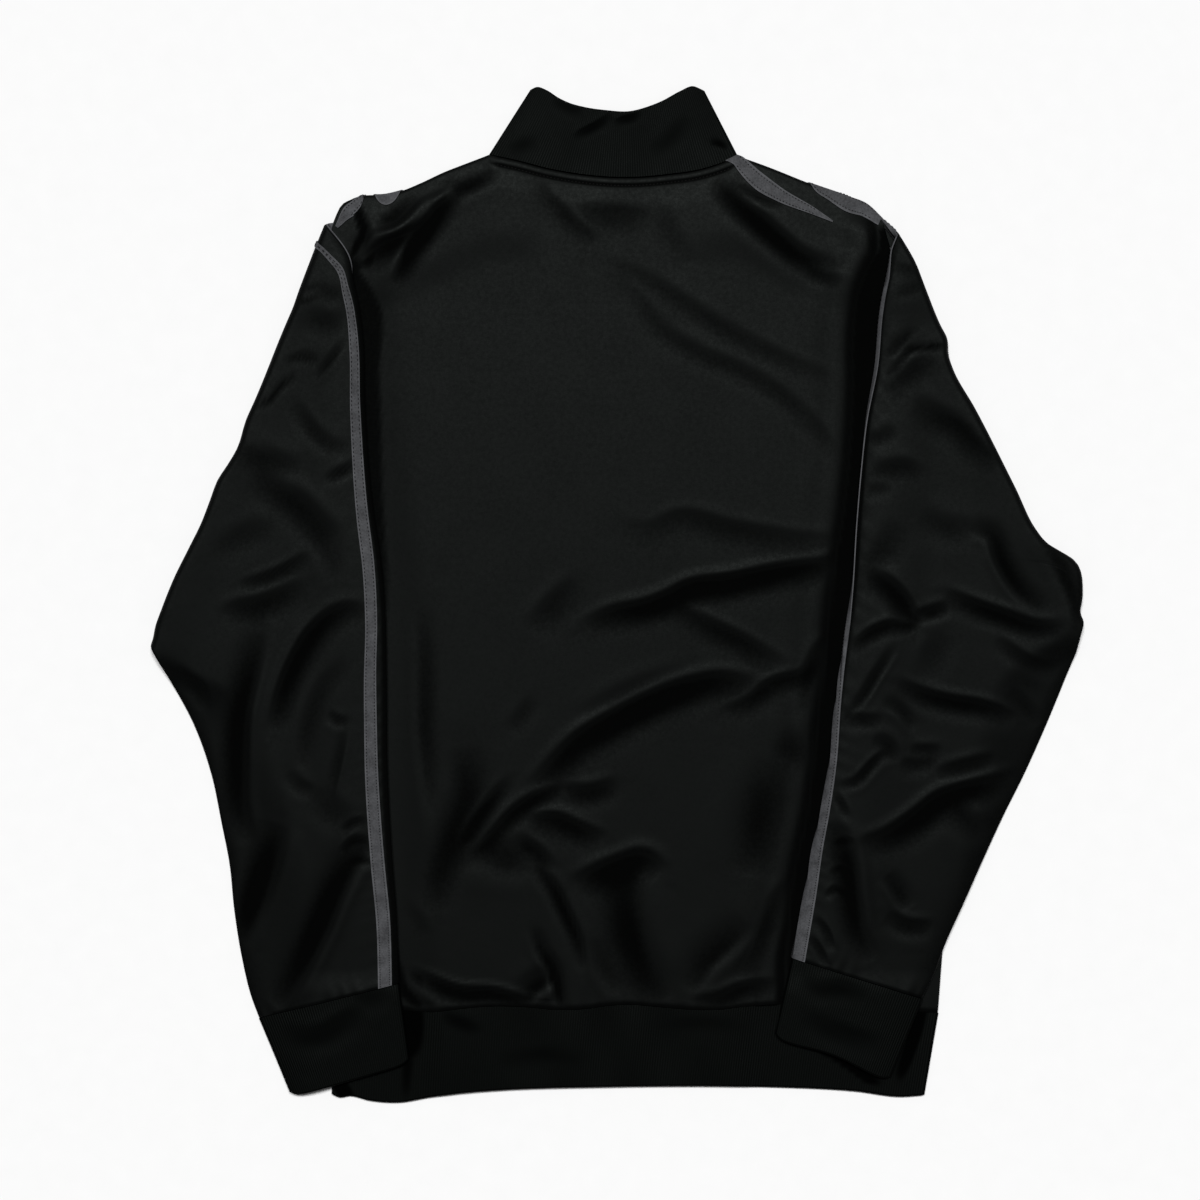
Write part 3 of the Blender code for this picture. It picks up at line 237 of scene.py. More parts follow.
def creases(table, x, y):
    """The rise and dip of creases. Each row is depth, width, lean and the crease's path.

    A crease is a trough between two ridges. With a lean over 0 the ridge on its upper side, towards
    the collar, is the higher one, and the trough opens out more gently below. It fades at both ends.
    """
    total = np.zeros(np.shape(x))
    for depth, width, lean, path in table:
        smoothed = Line(path).at(np.linspace(0, 1, 4 * len(path) - 3))
        reach = CREASE_REACH * width
        low, high = smoothed.min(axis=0) - reach, smoothed.max(axis=0) + reach
        near = (x > low[0]) & (x < high[0]) & (y > low[1]) & (y < high[1])
        if not near.any():
            continue
        px, py = x[near], y[near]
        best, share, side = np.full(px.shape, np.inf), np.zeros(px.shape), np.zeros(px.shape)
        steps = len(smoothed) - 1
        span_x, span_y = smoothed[-1] - smoothed[0]
        # the path's left side is its upper side where it runs to the right
        upper = np.sign(span_x + SIDE_TILT * span_y)
        for k in range(steps):
            (ax, ay), (bx, by) = smoothed[k], smoothed[k + 1]
            run_x, run_y = bx - ax, by - ay
            t = np.clip(((px - ax) * run_x + (py - ay) * run_y) / (run_x**2 + run_y**2), 0, 1)
            away_x, away_y = px - ax - t * run_x, py - ay - t * run_y
            away = np.hypot(away_x, away_y)
            closer = away < best
            best = np.where(closer, away, best)
            share = np.where(closer, (k + t) / steps, share)
            side = np.where(closer, upper * np.sign(run_x * away_y - run_y * away_x), side)
        lower = side * lean < 0
        spread = np.where(lower, 1 + WIDER_BELOW * abs(lean), 1 - NARROWER_ABOVE * abs(lean))
        away = best / (width * spread)
        fade = np.sin(np.pi * np.clip(share, 0.01, 0.99)) ** CREASE_FADE
        ridge = RIDGE * (1 + lean * side) * bell((away - RIDGE_PLACE) / RIDGE_WIDTH)
        total[near] += depth * fade * (ridge - bell(away))
    return total


def grid_piece(name, points, painted_shade=None, merged=True):
    """A new piece from a grid of points [row, column, xyz] in plan millimetres.

    The share of painted shade, from 0 to 1, is kept as an attribute that darkens its finish.
    Points in the same place are merged where merged is true.
    """
    rows, columns = points.shape[:2]
    bpy.ops.object.select_all(action="DESELECT")
    bpy.ops.mesh.primitive_grid_add(x_subdivisions=columns - 1, y_subdivisions=rows - 1, size=1.0)
    piece = bpy.context.object
    piece.name = piece.data.name = name
    placed = (points - (CENTRE_X, CENTRE_Y, 0.0)) / 1000
    piece.data.vertices.foreach_set("co", placed.reshape(-1))
    if painted_shade is not None:
        attribute = piece.data.attributes.new("painted_shade", "FLOAT", "POINT")
        attribute.data.foreach_set("value", painted_shade.reshape(-1))
    bpy.ops.object.mode_set(mode="EDIT")
    bpy.ops.mesh.select_all(action="SELECT")
    if merged:
        bpy.ops.mesh.remove_doubles(threshold=MERGE_WITHIN)
    bpy.ops.object.mode_set(mode="OBJECT")
    return piece


def cloth(name, points, thickness, painted_shade=None, ring=False):
    """A cloth wall under a grid of points, which are its outer face.

    A ring joins the last column to the first, as a tube does.
    """
    if ring:
        points = np.concatenate([points, points[:, :1]], axis=1)
        painted_shade = np.concatenate([painted_shade, painted_shade[:, :1]], axis=1)
    piece = grid_piece(name, points, painted_shade, merged=ring)
    wall = piece.modifiers.new("wall", "SOLIDIFY")
    wall.thickness = thickness / 1000
    wall.offset = -1.0
    bpy.ops.object.modifier_apply(modifier=wall.name)
    bpy.ops.object.shade_smooth_by_angle(angle=math.radians(60))
    return piece


def close_edges(count, length):
    """Shares of a length, with a few close to both ends, where a seam rolls the cloth's edge down."""
    near = np.array(EDGE_PLACES) / length
    inner = np.linspace(near[-1], 1 - near[-1], count)
    return np.concatenate([near[:-1], inner, 1 - near[-2::-1]])


def emboss(height, principled, strength, distance):
    sockets = {"Strength": strength, "Distance": distance, "Height": height}
    link(height.node("ShaderNodeBump", sockets=sockets), principled, "Normal")


def satin(name):
    """Black warp-knit polyester, satin face: fine wales, soft sheen, slight mottling, painted shade."""
    material, principled, shade = finish_of(name, {
        "Specular IOR Level": 0.058, "Specular Tint": (0.90, 1.0, 0.95, 1),
    })
    place = shade.node("ShaderNodeTexCoord", output="Object")
    cloud = noise(place, scale=26.0, detail=3.0)
    grain = noise(place, scale=900.0, detail=1.0)
    speckle = noise(place, scale=330.0)
    wales = shade.node(
        "ShaderNodeTexWave", {"bands_direction": "X"},
        {"Vector": place, "Scale": 628.0, "Distortion": 0.6, "Detail": 1.0}, output=1,
    )
    painted_shade = shade.node("ShaderNodeAttribute", {"attribute_name": "painted_shade"}, output="Fac")
    # painted shade: the colour darkens towards near black, and the roughness rises, with the share of
    # painted shade kept on the piece
    link(blend(painted_shade, (0.0011, 0.0012, 0.0012), (0.0002, 0.0002, 0.0002)), principled, "Base Color")
    link(cloud * 0.10 + grain * 0.16 + speckle * 0.22 + painted_shade * 0.5 + 0.27, principled, "Roughness")
    emboss(cloud + wales * 0.06 + grain * 0.1, principled, strength=0.5, distance=0.0004)
    return material


cloth_finish = satin("satin_knit")

shoulder_left = Edge([
    SHOULDER_LEFT, (-212, 292), (-202, 300), (-190, 303), (-179, 303),
    (-165, 306), (-149, 312.5), (-132, 320.5), (-118, 326), NECK_LEFT,
])
neck_back = Edge([
    NECK_LEFT, (-76, 329.4), (-51, 323.2), (-28, 319.3), (-5.7, 317.2),
    (17, 317.2), (40, 319.4), (63, 322.8), (81, 328.5), NECK_RIGHT,
])
shoulder_right = Edge([
    NECK_RIGHT, (101, 329.5), (116, 324), (146, 312), (177, 301),
    (190, 295.5), SHOULDER_RIGHT,
])
hem_seam = Edge([
    HEM_LEFT, (-165, -316.9), (-141, -318.2), (-121, -315.9), (-101, -314),
    (-69, -314.4), (-50, -316.2), (-22, -315.5), (-6, -313.2), (10, -312.6), (34, -314.5),
    (57, -316.3), (77, -316.3), (97, -313.9), (121, -312), (160, -314.5), HEM_RIGHT,
])
side_left = Edge([HEM_LEFT[::-1], (-200, -238), (-90, -259), ARMPIT_LEFT[::-1]])
side_right = Edge([HEM_RIGHT[::-1], (-280, 246.5), (-150, 259), (-60, 270), ARMPIT_RIGHT[::-1]])
TAPED_LEFT = [
    (-212.5, 273), (-206, 257), (-202.5, 238), (-198, 220), (-194.2, 196), (-192.7, 147),
    (-186.5, 66), (-180.5, 25), (-176.7, -20), (-176, -56), (-175.2, -137), (-171.4, -206),
    (-168.3, -246), (-166.8, -296),
]
TAPED_RIGHT = [
    (203.5, 271), (203, 255), (201.5, 235), (200, 215), (197, 175), (189.4, 131), (185.6, 92),
    (182.5, 53), (179, 5.7), (173.5, -35), (166.5, -83), (162, -127), (155.5, -165),
    (149.5, -192), (143.5, -225), (133.4, -277),
]
sleeve_edge_left = Edge([(y, x) for x, y in TAPED_LEFT])
sleeve_edge_right = Edge([(y, x) for x, y in TAPED_RIGHT])
back_roll_right = Edge([
    (-275, 129.6), (-214, 135), (-165, 145.5), (-104, 152.4), (-28, 161), (14, 165), (53, 171.4),
    (155, 179.7), (200, 180), (236, 186), (253, 194), (262, 200),
])


def body_side(y, left):
    """The body's side outline: the side seam up to the armpit, then the straight armhole."""
    armpit, shoulder = (ARMPIT_LEFT, SHOULDER_LEFT) if left else (ARMPIT_RIGHT, SHOULDER_RIGHT)
    seam = (side_left if left else side_right).at(y)
    armhole = armpit[0] + (shoulder[0] - armpit[0]) * (y - armpit[1]) / (shoulder[1] - armpit[1])
    return np.where(y < armpit[1], seam, armhole)


def body_top(x):
    """The body's upper outline: shoulder, neck seam, shoulder."""
    x = np.asarray(x, float)
    from_neck = np.where(x < NECK_RIGHT[0], neck_back.at(x), shoulder_right.at(x))
    return np.where(x < NECK_LEFT[0], shoulder_left.at(x), from_neck)


LIFT_DEPTH, LIFT_RAMP, NECK_MIDDLE_X, TAPELESS_HALF = 85.0, 30.0, -3.0, 45.0


def tape_lift(x, y):
    """Room under the cloth near the shoulder lines, where the tapes wrap to the underside."""
    corners = (SHOULDER_LEFT, NECK_LEFT, NECK_RIGHT, SHOULDER_RIGHT)
    line = np.interp(x, [corner[0] for corner in corners], [corner[1] for corner in corners])
    near_line = smooth((y - line + LIFT_DEPTH) / LIFT_RAMP)
    return TAPE_LIFT * near_line * smooth((np.abs(x - NECK_MIDDLE_X) - TAPELESS_HALF) / LIFT_RAMP)


def body_point(across, up, gap=SEAM):
    """A plan point of the body, from its hem seam up to its top outline and from side to side."""
    left_y = HEM_LEFT[1] + up * (SHOULDER_LEFT[1] - HEM_LEFT[1])
    right_y = HEM_RIGHT[1] + up * (SHOULDER_RIGHT[1] - HEM_RIGHT[1])
    left_x, right_x = body_side(left_y, True) + 2 * gap, body_side(right_y, False) - 2 * gap
    foot_x = HEM_LEFT[0] + across * (HEM_RIGHT[0] - HEM_LEFT[0])
    head_x = SHOULDER_LEFT[0] + across * (SHOULDER_RIGHT[0] - SHOULDER_LEFT[0])
    y = (1 - up) * (hem_seam.at(foot_x) + gap) + up * (body_top(head_x) - gap)
    return left_x + across * (right_x - left_x), y


BACK_CREASES = [
    # depth, width, lean, path
    # across the small of the back, from the right sleeve
    (2.9, 6.5, 1.0, [
        (176, 24), (123, 17), (85, 9), (53, 4), (40, -3), (22, -10), (-3, -15), (-26, -26),
    ]),
    (1.5, 6.0, 1.0, [(45, -10), (68, -23), (98, -38), (126, -56)]),
    (0.9, 7.0, 1.0, [(4, 53), (22, 48), (47, 58), (85, 50), (123, 43), (172, 38)]),
    (1.6, 5.0, 1.0, [(169, -30), (152, -43), (141, -61), (118, -68), (101, -81), (78, -91)]),
    (0.9, 8.0, 1.0, [(-31, 10), (-49, -7), (-66, -28)]),
    (0.7, 7.0, 0.4, [(140, -95), (148, -60), (166, -44)]),
    # the long crease that falls to the lower left
    (3.0, 7.5, 1.0, [
        (106, -71), (80, -66), (53, -71), (22, -83), (-3, -96), (-28, -111), (-51, -134),
        (-64, -150),
    ]),
    (2.2, 4.5, 0.8, [(-41, -147), (-61, -155), (-79, -167), (-97, -187), (-110, -200)]),
    (1.9, 4.5, 0.6, [(-82, -142), (-97, -159), (-110, -177), (-118, -192)]),
    (1.5, 6.0, 0.7, [(0, -145), (-24, -152), (-41, -149)]),
    (0.8, 9.0, 0.6, [(60, -60), (15, -74), (-30, -98)]),
    (0.7, 5.0, 0.5, [(-82, -106), (-72, -91), (-66, -80)]),
    # below it, down to the hem
    (1.9, 6.0, 1.0, [(-69, -172), (-46, -172), (-28, -180), (-10, -187)]),
    (2.3, 8.0, 1.0, [(-33, -222), (-3, -208), (22, -202), (34, -214)]),
    (2.1, 13.5, -0.3, [(6, -208), (8, -250), (18, -284), (36, -312)]),
    (2.2, 4.0, 0.5, [(-64, -205), (-50, -222), (-38, -246), (-31, -262), (-24, -288)]),
    (1.8, 4.0, 0.4, [(-64, -254), (-58, -272), (-48, -290), (-44, -312)]),
    (1.5, 4.5, 0.4, [(-75, -187), (-60, -198), (-50, -212)]),
    (1.0, 6.0, -0.5, [(-18, -262), (-12, -284), (0, -306)]),
    (2.6, 4.2, 0.9, [
        (-166, -284), (-158, -288), (-142, -295), (-120, -303), (-95, -304), (-74, -309),
        (-60, -309),
    ]),
    (3.2, 4.2, 0.3, [(-171, -262), (-168, -282), (-164, -299), (-155, -309), (-142, -317)]),
    (2.0, 6.0, -0.4, [(-72, -308), (-60, -298), (-48, -290)]),
    (1.8, 2.8, 0.3, [(-54, -276), (-47, -297), (-42, -318)]),
    (1.7, 5.0, 0.7, [(57, -311), (76, -309), (98, -300), (121, -298)]),
    (1.4, 6.0, 0.7, [(132, -220), (118, -236), (111, -253), (103, -273), (90, -296)]),
    (1.5, 8.0, -0.6, [(100, -250), (84, -266), (66, -284), (55, -304)]),
    (1.5, 16.0, 0.2, [(120, -126), (108, -166), (98, -216)]),
    (1.1, 12.0, 0.3, [(120, -110), (136, -118), (146, -114)]),
    # left side, beside the folded sleeve
    (1.3, 6.0, 0.5, [(-150, -10), (-148, -53), (-148, -100), (-143, -150), (-140, -176)]),
    (1.8, 13.0, 0.2, [(-119, -116), (-115, -150), (-127, -190), (-139, -222), (-142, -244)]),
    (1.2, 13.0, 0.0, [(-112, -190), (-88, -200), (-62, -200)]),
    (1.5, 6.0, 0.4, [(-172, -230), (-158, -246), (-148, -262)]),
    # upper back
    (0.9, 4.5, 1.0, [(-60, 315), (-45, 296), (-30, 280), (-14, 268)]),
    (0.9, 9.0, 0.9, [(-34, 291), (-6, 292), (26, 288)]),
    (0.4, 7.0, 0.6, [(33, 300), (44, 270), (58, 248)]),
    (2.4, 7.0, 0.4, [
        (72, 318), (78, 311), (92, 296), (107, 283), (125, 267), (139, 256), (153, 251),
        (168, 253),
    ]),
    (1.4, 3.0, 0.3, [(86, 315), (92, 311), (107, 301), (125, 294)]),
    (0.9, 5.0, 0.6, [(142, 246), (158, 240), (172, 236)]),
    (0.75, 5.5, 0.6, [(-10, 254), (25, 238), (50, 222), (78, 204), (111, 186), (164, 161)]),
    (0.75, 5.5, 0.6, [
        (-5, 240), (17, 224), (33, 202), (62, 183), (96, 169), (130, 147), (155, 120), (172, 98),
    ]),
    # left shoulder: a ridge from the neck to the sleeve's fold, and the hollows on both sides of it
    (-2.2, 4.5, 0.0, [
        (-120, 311), (-134, 303), (-147, 297), (-158, 284), (-170, 276), (-183, 272), (-194, 262),
        (-204, 249),
    ]),
    (2.8, 5.0, 0.9, [(-120, 308), (-131, 297), (-144, 281), (-157, 263), (-166, 244), (-171, 234)]),
    (2.2, 5.5, 0.9, [(-142, 282), (-158, 272), (-176, 264), (-192, 252), (-202, 242)]),
    (2.2, 5.5, 0.2, [(-136, 318), (-122, 310), (-108, 314), (-92, 324)]),
    (3.4, 3.4, 0.2, [(-200, 299), (-197, 288), (-194, 276), (-199, 262), (-206, 248)]),
    (2.0, 5.0, 0.3, [(-152, 306), (-164, 296), (-174, 286), (-182, 284)]),
]
# where the painted shadow beside the left sleeve ends, as x for each y
left_shadow_edge = Edge([
    (-4, -172.1), (65.7, -175.9), (147, -178.2), (171, -179), (198, -176.7), (216, -177.5),
    (230, -183.5), (244, -193.4),
])
NECK_COLUMNS, LEFT_COLUMNS, RIGHT_COLUMNS, BACK_ROWS = 70, 44, 40, 226
SEAM_OVERLAP, GATHER_DEPTH, STITCHED_INSET = 0.2, 0.35, 6.2
GROOVE_INSET, GROOVE_WIDTH, GROOVE_DEPTH = 6.6, 0.8, 0.8
NECK_RISE, EDGE_BREADTH, DARKEST_DIP = 0.5, 1.5, 2.0
# how dark the painted shade is beside the left sleeve, at the seams and in the groove, and how broad it
# is at the seams
LEFT_DARK, SEAM_DARK, GROOVE_DARK, DARK_BREADTH = 0.75, 0.9, 0.8, 1.3
LEFT_CLEAR, LEFT_RAMP, ROLL_OVERLAP, RIGHT_CLEAR, RIGHT_RAMP, TOP_RAMP = 2, 34, 3, 4, 9, 26
ROLL_INSET, ROLL_WIDTH = 14, 15
COLLAR_UNDER_LEFT, COLLAR_UNDER_RIGHT, COLLAR_UNDER_FOOT = -105, 99, 235


def back_full(x, y):
    """How full the back is, from 0 pressed flat to 1, and its roll beside the right sleeve."""
    left = smooth((x - sleeve_edge_left.at(y) - LEFT_CLEAR) / LEFT_RAMP)
    brink = back_roll_right.at(y)
    pressed = np.minimum(brink + ROLL_OVERLAP, sleeve_edge_right.at(y) - RIGHT_CLEAR)
    right = smooth((pressed - x) / RIGHT_RAMP)
    top = smooth((body_top(x) - y) / TOP_RAMP)
    roll = BACK_ROLL * bell((brink - ROLL_INSET - x) / ROLL_WIDTH) * top * right
    return left * right * top, roll


def soft_floor(fold, deepest):
    """Folds whose dips level off softly before the deepest that the layer below allows."""
    return np.where(fold < 0, -deepest * np.tanh(-fold / deepest), fold)


def back_height(x, y):
    """The height of the back's upper face."""
    full, roll = back_full(x, y)
    fold = soft_floor(creases(BACK_CREASES, x, y), BACK_PUFF - FLOOR_GAP)
    on_collar = between(x, COLLAR_UNDER_LEFT, COLLAR_UNDER_RIGHT, 10)
    over_collar = NECK_LIFT * on_collar * smooth((y - COLLAR_UNDER_FOOT) / 12)
    raised = np.maximum(full * (BACK_PUFF + fold), over_collar) + roll
    return CLOTH + LAYER_GAP + tape_lift(x, y) + raised + CLOTH


corners_x = (SHOULDER_LEFT[0], NECK_LEFT[0], NECK_RIGHT[0], SHOULDER_RIGHT[0])
stretches = [
    np.linspace(start, end, count, endpoint=False)
    for start, end, count in zip(corners_x, corners_x[1:], (LEFT_COLUMNS, NECK_COLUMNS, RIGHT_COLUMNS))
]
heads = np.concatenate([*stretches, [corners_x[-1]]])
across = (heads - corners_x[0]) / (corners_x[-1] - corners_x[0])
across, up = np.meshgrid(across, close_edges(BACK_ROWS, BACK_LENGTH))
x, y = body_point(across, up, -SEAM_OVERLAP)
from_hem, from_top = up * BACK_LENGTH, (1 - up) * BACK_LENGTH

# the gathers at the hem, the two layers of cloth above the stitches under the neck, and the groove
# that these stitches pull in
gathers = GATHER_DEPTH * gathered(x, 2.1, 2.2, 17) * np.exp(-from_hem / 9)
in_neck = between(x, NECK_LEFT[0], NECK_RIGHT[0], 8)
groove = in_neck * bell((from_top - GROOVE_INSET) / GROOVE_WIDTH)
topstitch = in_neck * NECK_RISE * smooth((STITCHED_INSET - from_top) / 1.2) - GROOVE_DEPTH * groove
edge_roll = bell(from_hem / EDGE_BREADTH) + bell(from_top / EDGE_BREADTH)
z = back_height(x, y) + gathers + topstitch - edge_roll

# painted shade where light reaches least, darkening the colour: the dips of the creases, also at the
# left shoulder and cuff, a painted shadow in the crevice under the roll beside the right sleeve and
# beside the left sleeve, and painted shade along the seams and in the groove
pressed = smooth((-182 - x) / 6) * smooth((y - 244) / 8)
pressed = pressed + smooth((-140 - x) / 12) * smooth((-255 - y) / 10)
painted_crease_shade = np.clip(-creases(BACK_CREASES, x, y) / DARKEST_DIP, 0, 1)
painted_crease_shade = painted_crease_shade * np.maximum(back_full(x, y)[0], pressed)
painted_crevice_shadow = smooth((x - back_roll_right.at(y) + 2.5) / 3.5)
painted_crevice_shadow = painted_crevice_shadow * smooth((281 - y) / 6) * smooth((230 - x) / 4)
painted_left_sleeve_shadow = LEFT_DARK * smooth((left_shadow_edge.at(y) - x) / 5)
painted_left_sleeve_shadow = painted_left_sleeve_shadow * smooth((y + 40) / 60) * smooth((262 - y) / 12)
painted_seam_shade = SEAM_DARK * np.maximum(in_neck * bell(from_top / DARK_BREADTH), bell(from_hem / DARK_BREADTH))
painted_shade = np.clip(np.max([painted_crease_shade, painted_crevice_shadow, painted_left_sleeve_shadow, painted_seam_shade, GROOVE_DARK * groove], axis=0), 0, 1)
points = np.stack([x, y, z], axis=-1)
back = cloth("back_panel", points, CLOTH, painted_shade)
back.data.materials.append(cloth_finish)
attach(back, "root")
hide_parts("back")

# ---- Front panels ----
# Two panels of the same cloth under the back. Their shoulders, sides and necklines are sewn to the
# back and collar, and their centre edges to the zip. They lie flat on the table.

ZIP_SLOT = 6.0
ZIP_FOOT_X, ZIP_HEM_X, ZIP_NECK_X, ZIP_TOP_X = 8.0, 14.4, -6.0, -2.1
ZIP_HEM_Y = float(hem_seam.at(ZIP_HEM_X)) - SEAM
FRONT_NECK_Y, BAND_FOOT_Y, COLLAR_FRONT_HEIGHT = 247.0, -375.5, 54.0
FRONT_NECK_CUT, NECK_ROUNDNESS, FRONT_CROWDING = 0.993, 1.6, 1.7
FRONT_COLUMNS, FRONT_ROWS = 52, 150
SIDES = (
    # wearer's side, way out from the zip, and the body's corners at neck, shoulder and hem
    ("left", -1, NECK_LEFT, SHOULDER_LEFT, HEM_LEFT),
    ("right", 1, NECK_RIGHT, SHOULDER_RIGHT, HEM_RIGHT),
)


def zip_x(y):
    """The centre line of the front, a little aslant because the jacket lies so."""
    return np.interp(
        y, (BAND_FOOT_Y, ZIP_HEM_Y, FRONT_NECK_Y, FRONT_NECK_Y + COLLAR_FRONT_HEIGHT),
        (ZIP_FOOT_X, ZIP_HEM_X, ZIP_NECK_X, ZIP_TOP_X),
    )


def slung(x, low, left, right):
    """A curve from a left and a right corner down to its low at the zip, as a neckline hangs."""
    x = np.asarray(x, float)
    corner_x = np.where(x < ZIP_NECK_X, left[0], right[0])
    corner_y = np.where(x < ZIP_NECK_X, left[1], right[1])
    share = np.minimum(np.abs((x - ZIP_NECK_X) / (corner_x - ZIP_NECK_X)), 1.0)
    return low + (corner_y - low) * (1 - np.sqrt(np.maximum(1 - share**NECK_ROUNDNESS, 0.0)))


def front_neck(x):
    return slung(x, FRONT_NECK_Y, NECK_LEFT, NECK_RIGHT)


def front_top(x):
    """A front's upper outline: the neckline, cut a little wider than its seam, and the shoulder."""
    in_neck = (x > NECK_LEFT[0]) & (x < NECK_RIGHT[0])
    return np.where(in_neck, front_neck(ZIP_NECK_X + (x - ZIP_NECK_X) * FRONT_NECK_CUT), body_top(x))


for side, sign, neck, shoulder, hem in SIDES:
    start = ZIP_NECK_X + sign * ZIP_SLOT / 2
    from_corner = np.linspace(1, 0, FRONT_COLUMNS // 2, endpoint=False) ** FRONT_CROWDING
    to_corner = start + (neck[0] - start) * (1 - from_corner)
    to_shoulder = np.linspace(neck[0], shoulder[0], FRONT_COLUMNS - FRONT_COLUMNS // 2)
    heads = np.concatenate([to_corner, to_shoulder])
    rows = close_edges(FRONT_ROWS, BACK_LENGTH)
    heads, rows = np.meshgrid(heads, rows)
    across = (heads - heads[0, 0]) / (heads[0, -1] - heads[0, 0])
    edge_x = body_point(np.full(rows.shape, 0.0 if sign < 0 else 1.0), rows)[0]
    inner_y = (1 - rows) * ZIP_HEM_Y + rows * FRONT_NECK_Y
    inner = zip_x(inner_y) + sign * ZIP_SLOT / 2
    x = inner + across * (edge_x - inner)
    foot = hem_seam.at(ZIP_HEM_X + across * (hem[0] - ZIP_HEM_X))
    y = (1 - rows) * (foot + 2 * SEAM) + rows * (front_top(heads) - 2 * SEAM)
    z = tape_lift(x, y) + CLOTH
    points = np.stack([x, y, z], axis=-1)[:, ::sign]
    front = cloth("front_panel_" + side, points, CLOTH, np.zeros(x.shape))
    front.data.materials.append(cloth_finish)
    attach(front, "root")
    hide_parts("front_" + side)

# ---- Sleeves ----
# Each sleeve is one piece of the same cloth, sewn into a tube under the arm and set into the
# armhole. It is folded inward at the line from shoulder to elbow and lies over the back.

FOLD_AXIS = 5.5
STACK = 2 * CLOTH + LAYER_GAP
FOLD_MEAN = FOLD_AXIS - STACK / 2
FOLD_TURN = math.pi * FOLD_MEAN
EDGE_RADIUS = (CLOTH + LAYER_GAP) / 2
EDGE_ARC = math.pi * EDGE_RADIUS / 2
SLEEVE_PUFF, SETTLE_RUN, ROW_SLANT, FOLD_ROUNDING = 2.9, 40.0, 0.35, 15.0
BODY_STACK, BODY_CLEAR, BODY_SLOPE = 3.6, 8.0, 42.0
BAND_EXTRA, BAND_TOP_Y, BAND_SLOPE = 1.2, -285.0, 20.0
TAPED_RISE, TAPED_BREADTH, TAPED_SLOPE, OUTLINE_BREADTH = 1.9, 75.0, 48.0, 60.0
PUCKER_DEPTH, PUCKER_PITCH, CUFF_GATHERS = 0.24, 2.3, 0.22
EDGE_FADE, FOLD_FADE, DEEPEST_FOLD, SEAM_DIP, UPPER_FROM = 8.0, 9.0, 0.85, 0.5, 5.0
SEAM_LENGTH, HEAD_LENGTH, HEAD = 600.0, 500.0, 0.06
HEAD_ROWS, SLEEVE_ROWS, OUTER_COLUMNS, HIDDEN_COLUMNS, EDGE_COLUMNS = 26, 182, 98, 20, 7


def flat_ring(c, width, radius):
    """The middle of a flattened tube's wall, c round it from its near edge, and the way out of it.

    It gives the place across the tube from the far edge, the height over the tube's middle, and the
    outward direction in both. The first straight run, from near to far, is the lower one.
    """
    arc, run = math.pi * radius / 2, width - 2 * radius
    c = np.mod(c, 4 * arc + 2 * run)
    near, far = width - radius, radius
    first, half, last = c / radius, (c - arc - run) / radius, (c - 3 * arc - 2 * run) / radius
    level = np.zeros(c.shape)
    parts = [c < arc, c < arc + run, c < 3 * arc + run, c < 3 * arc + 2 * run]
    rise = np.select(parts, [-np.sin(first), level - 1, -np.cos(half), level + 1], np.cos(last))
    aside = np.select(parts, [np.cos(first), level, -np.sin(half), level], np.sin(last))
    places = [
        near + radius * np.cos(first), near - (c - arc),
        far - radius * np.sin(half), far + c - 3 * arc - run,
    ]
    across = np.select(parts, places, near + radius * np.sin(last))
    return across, radius * rise, aside, rise


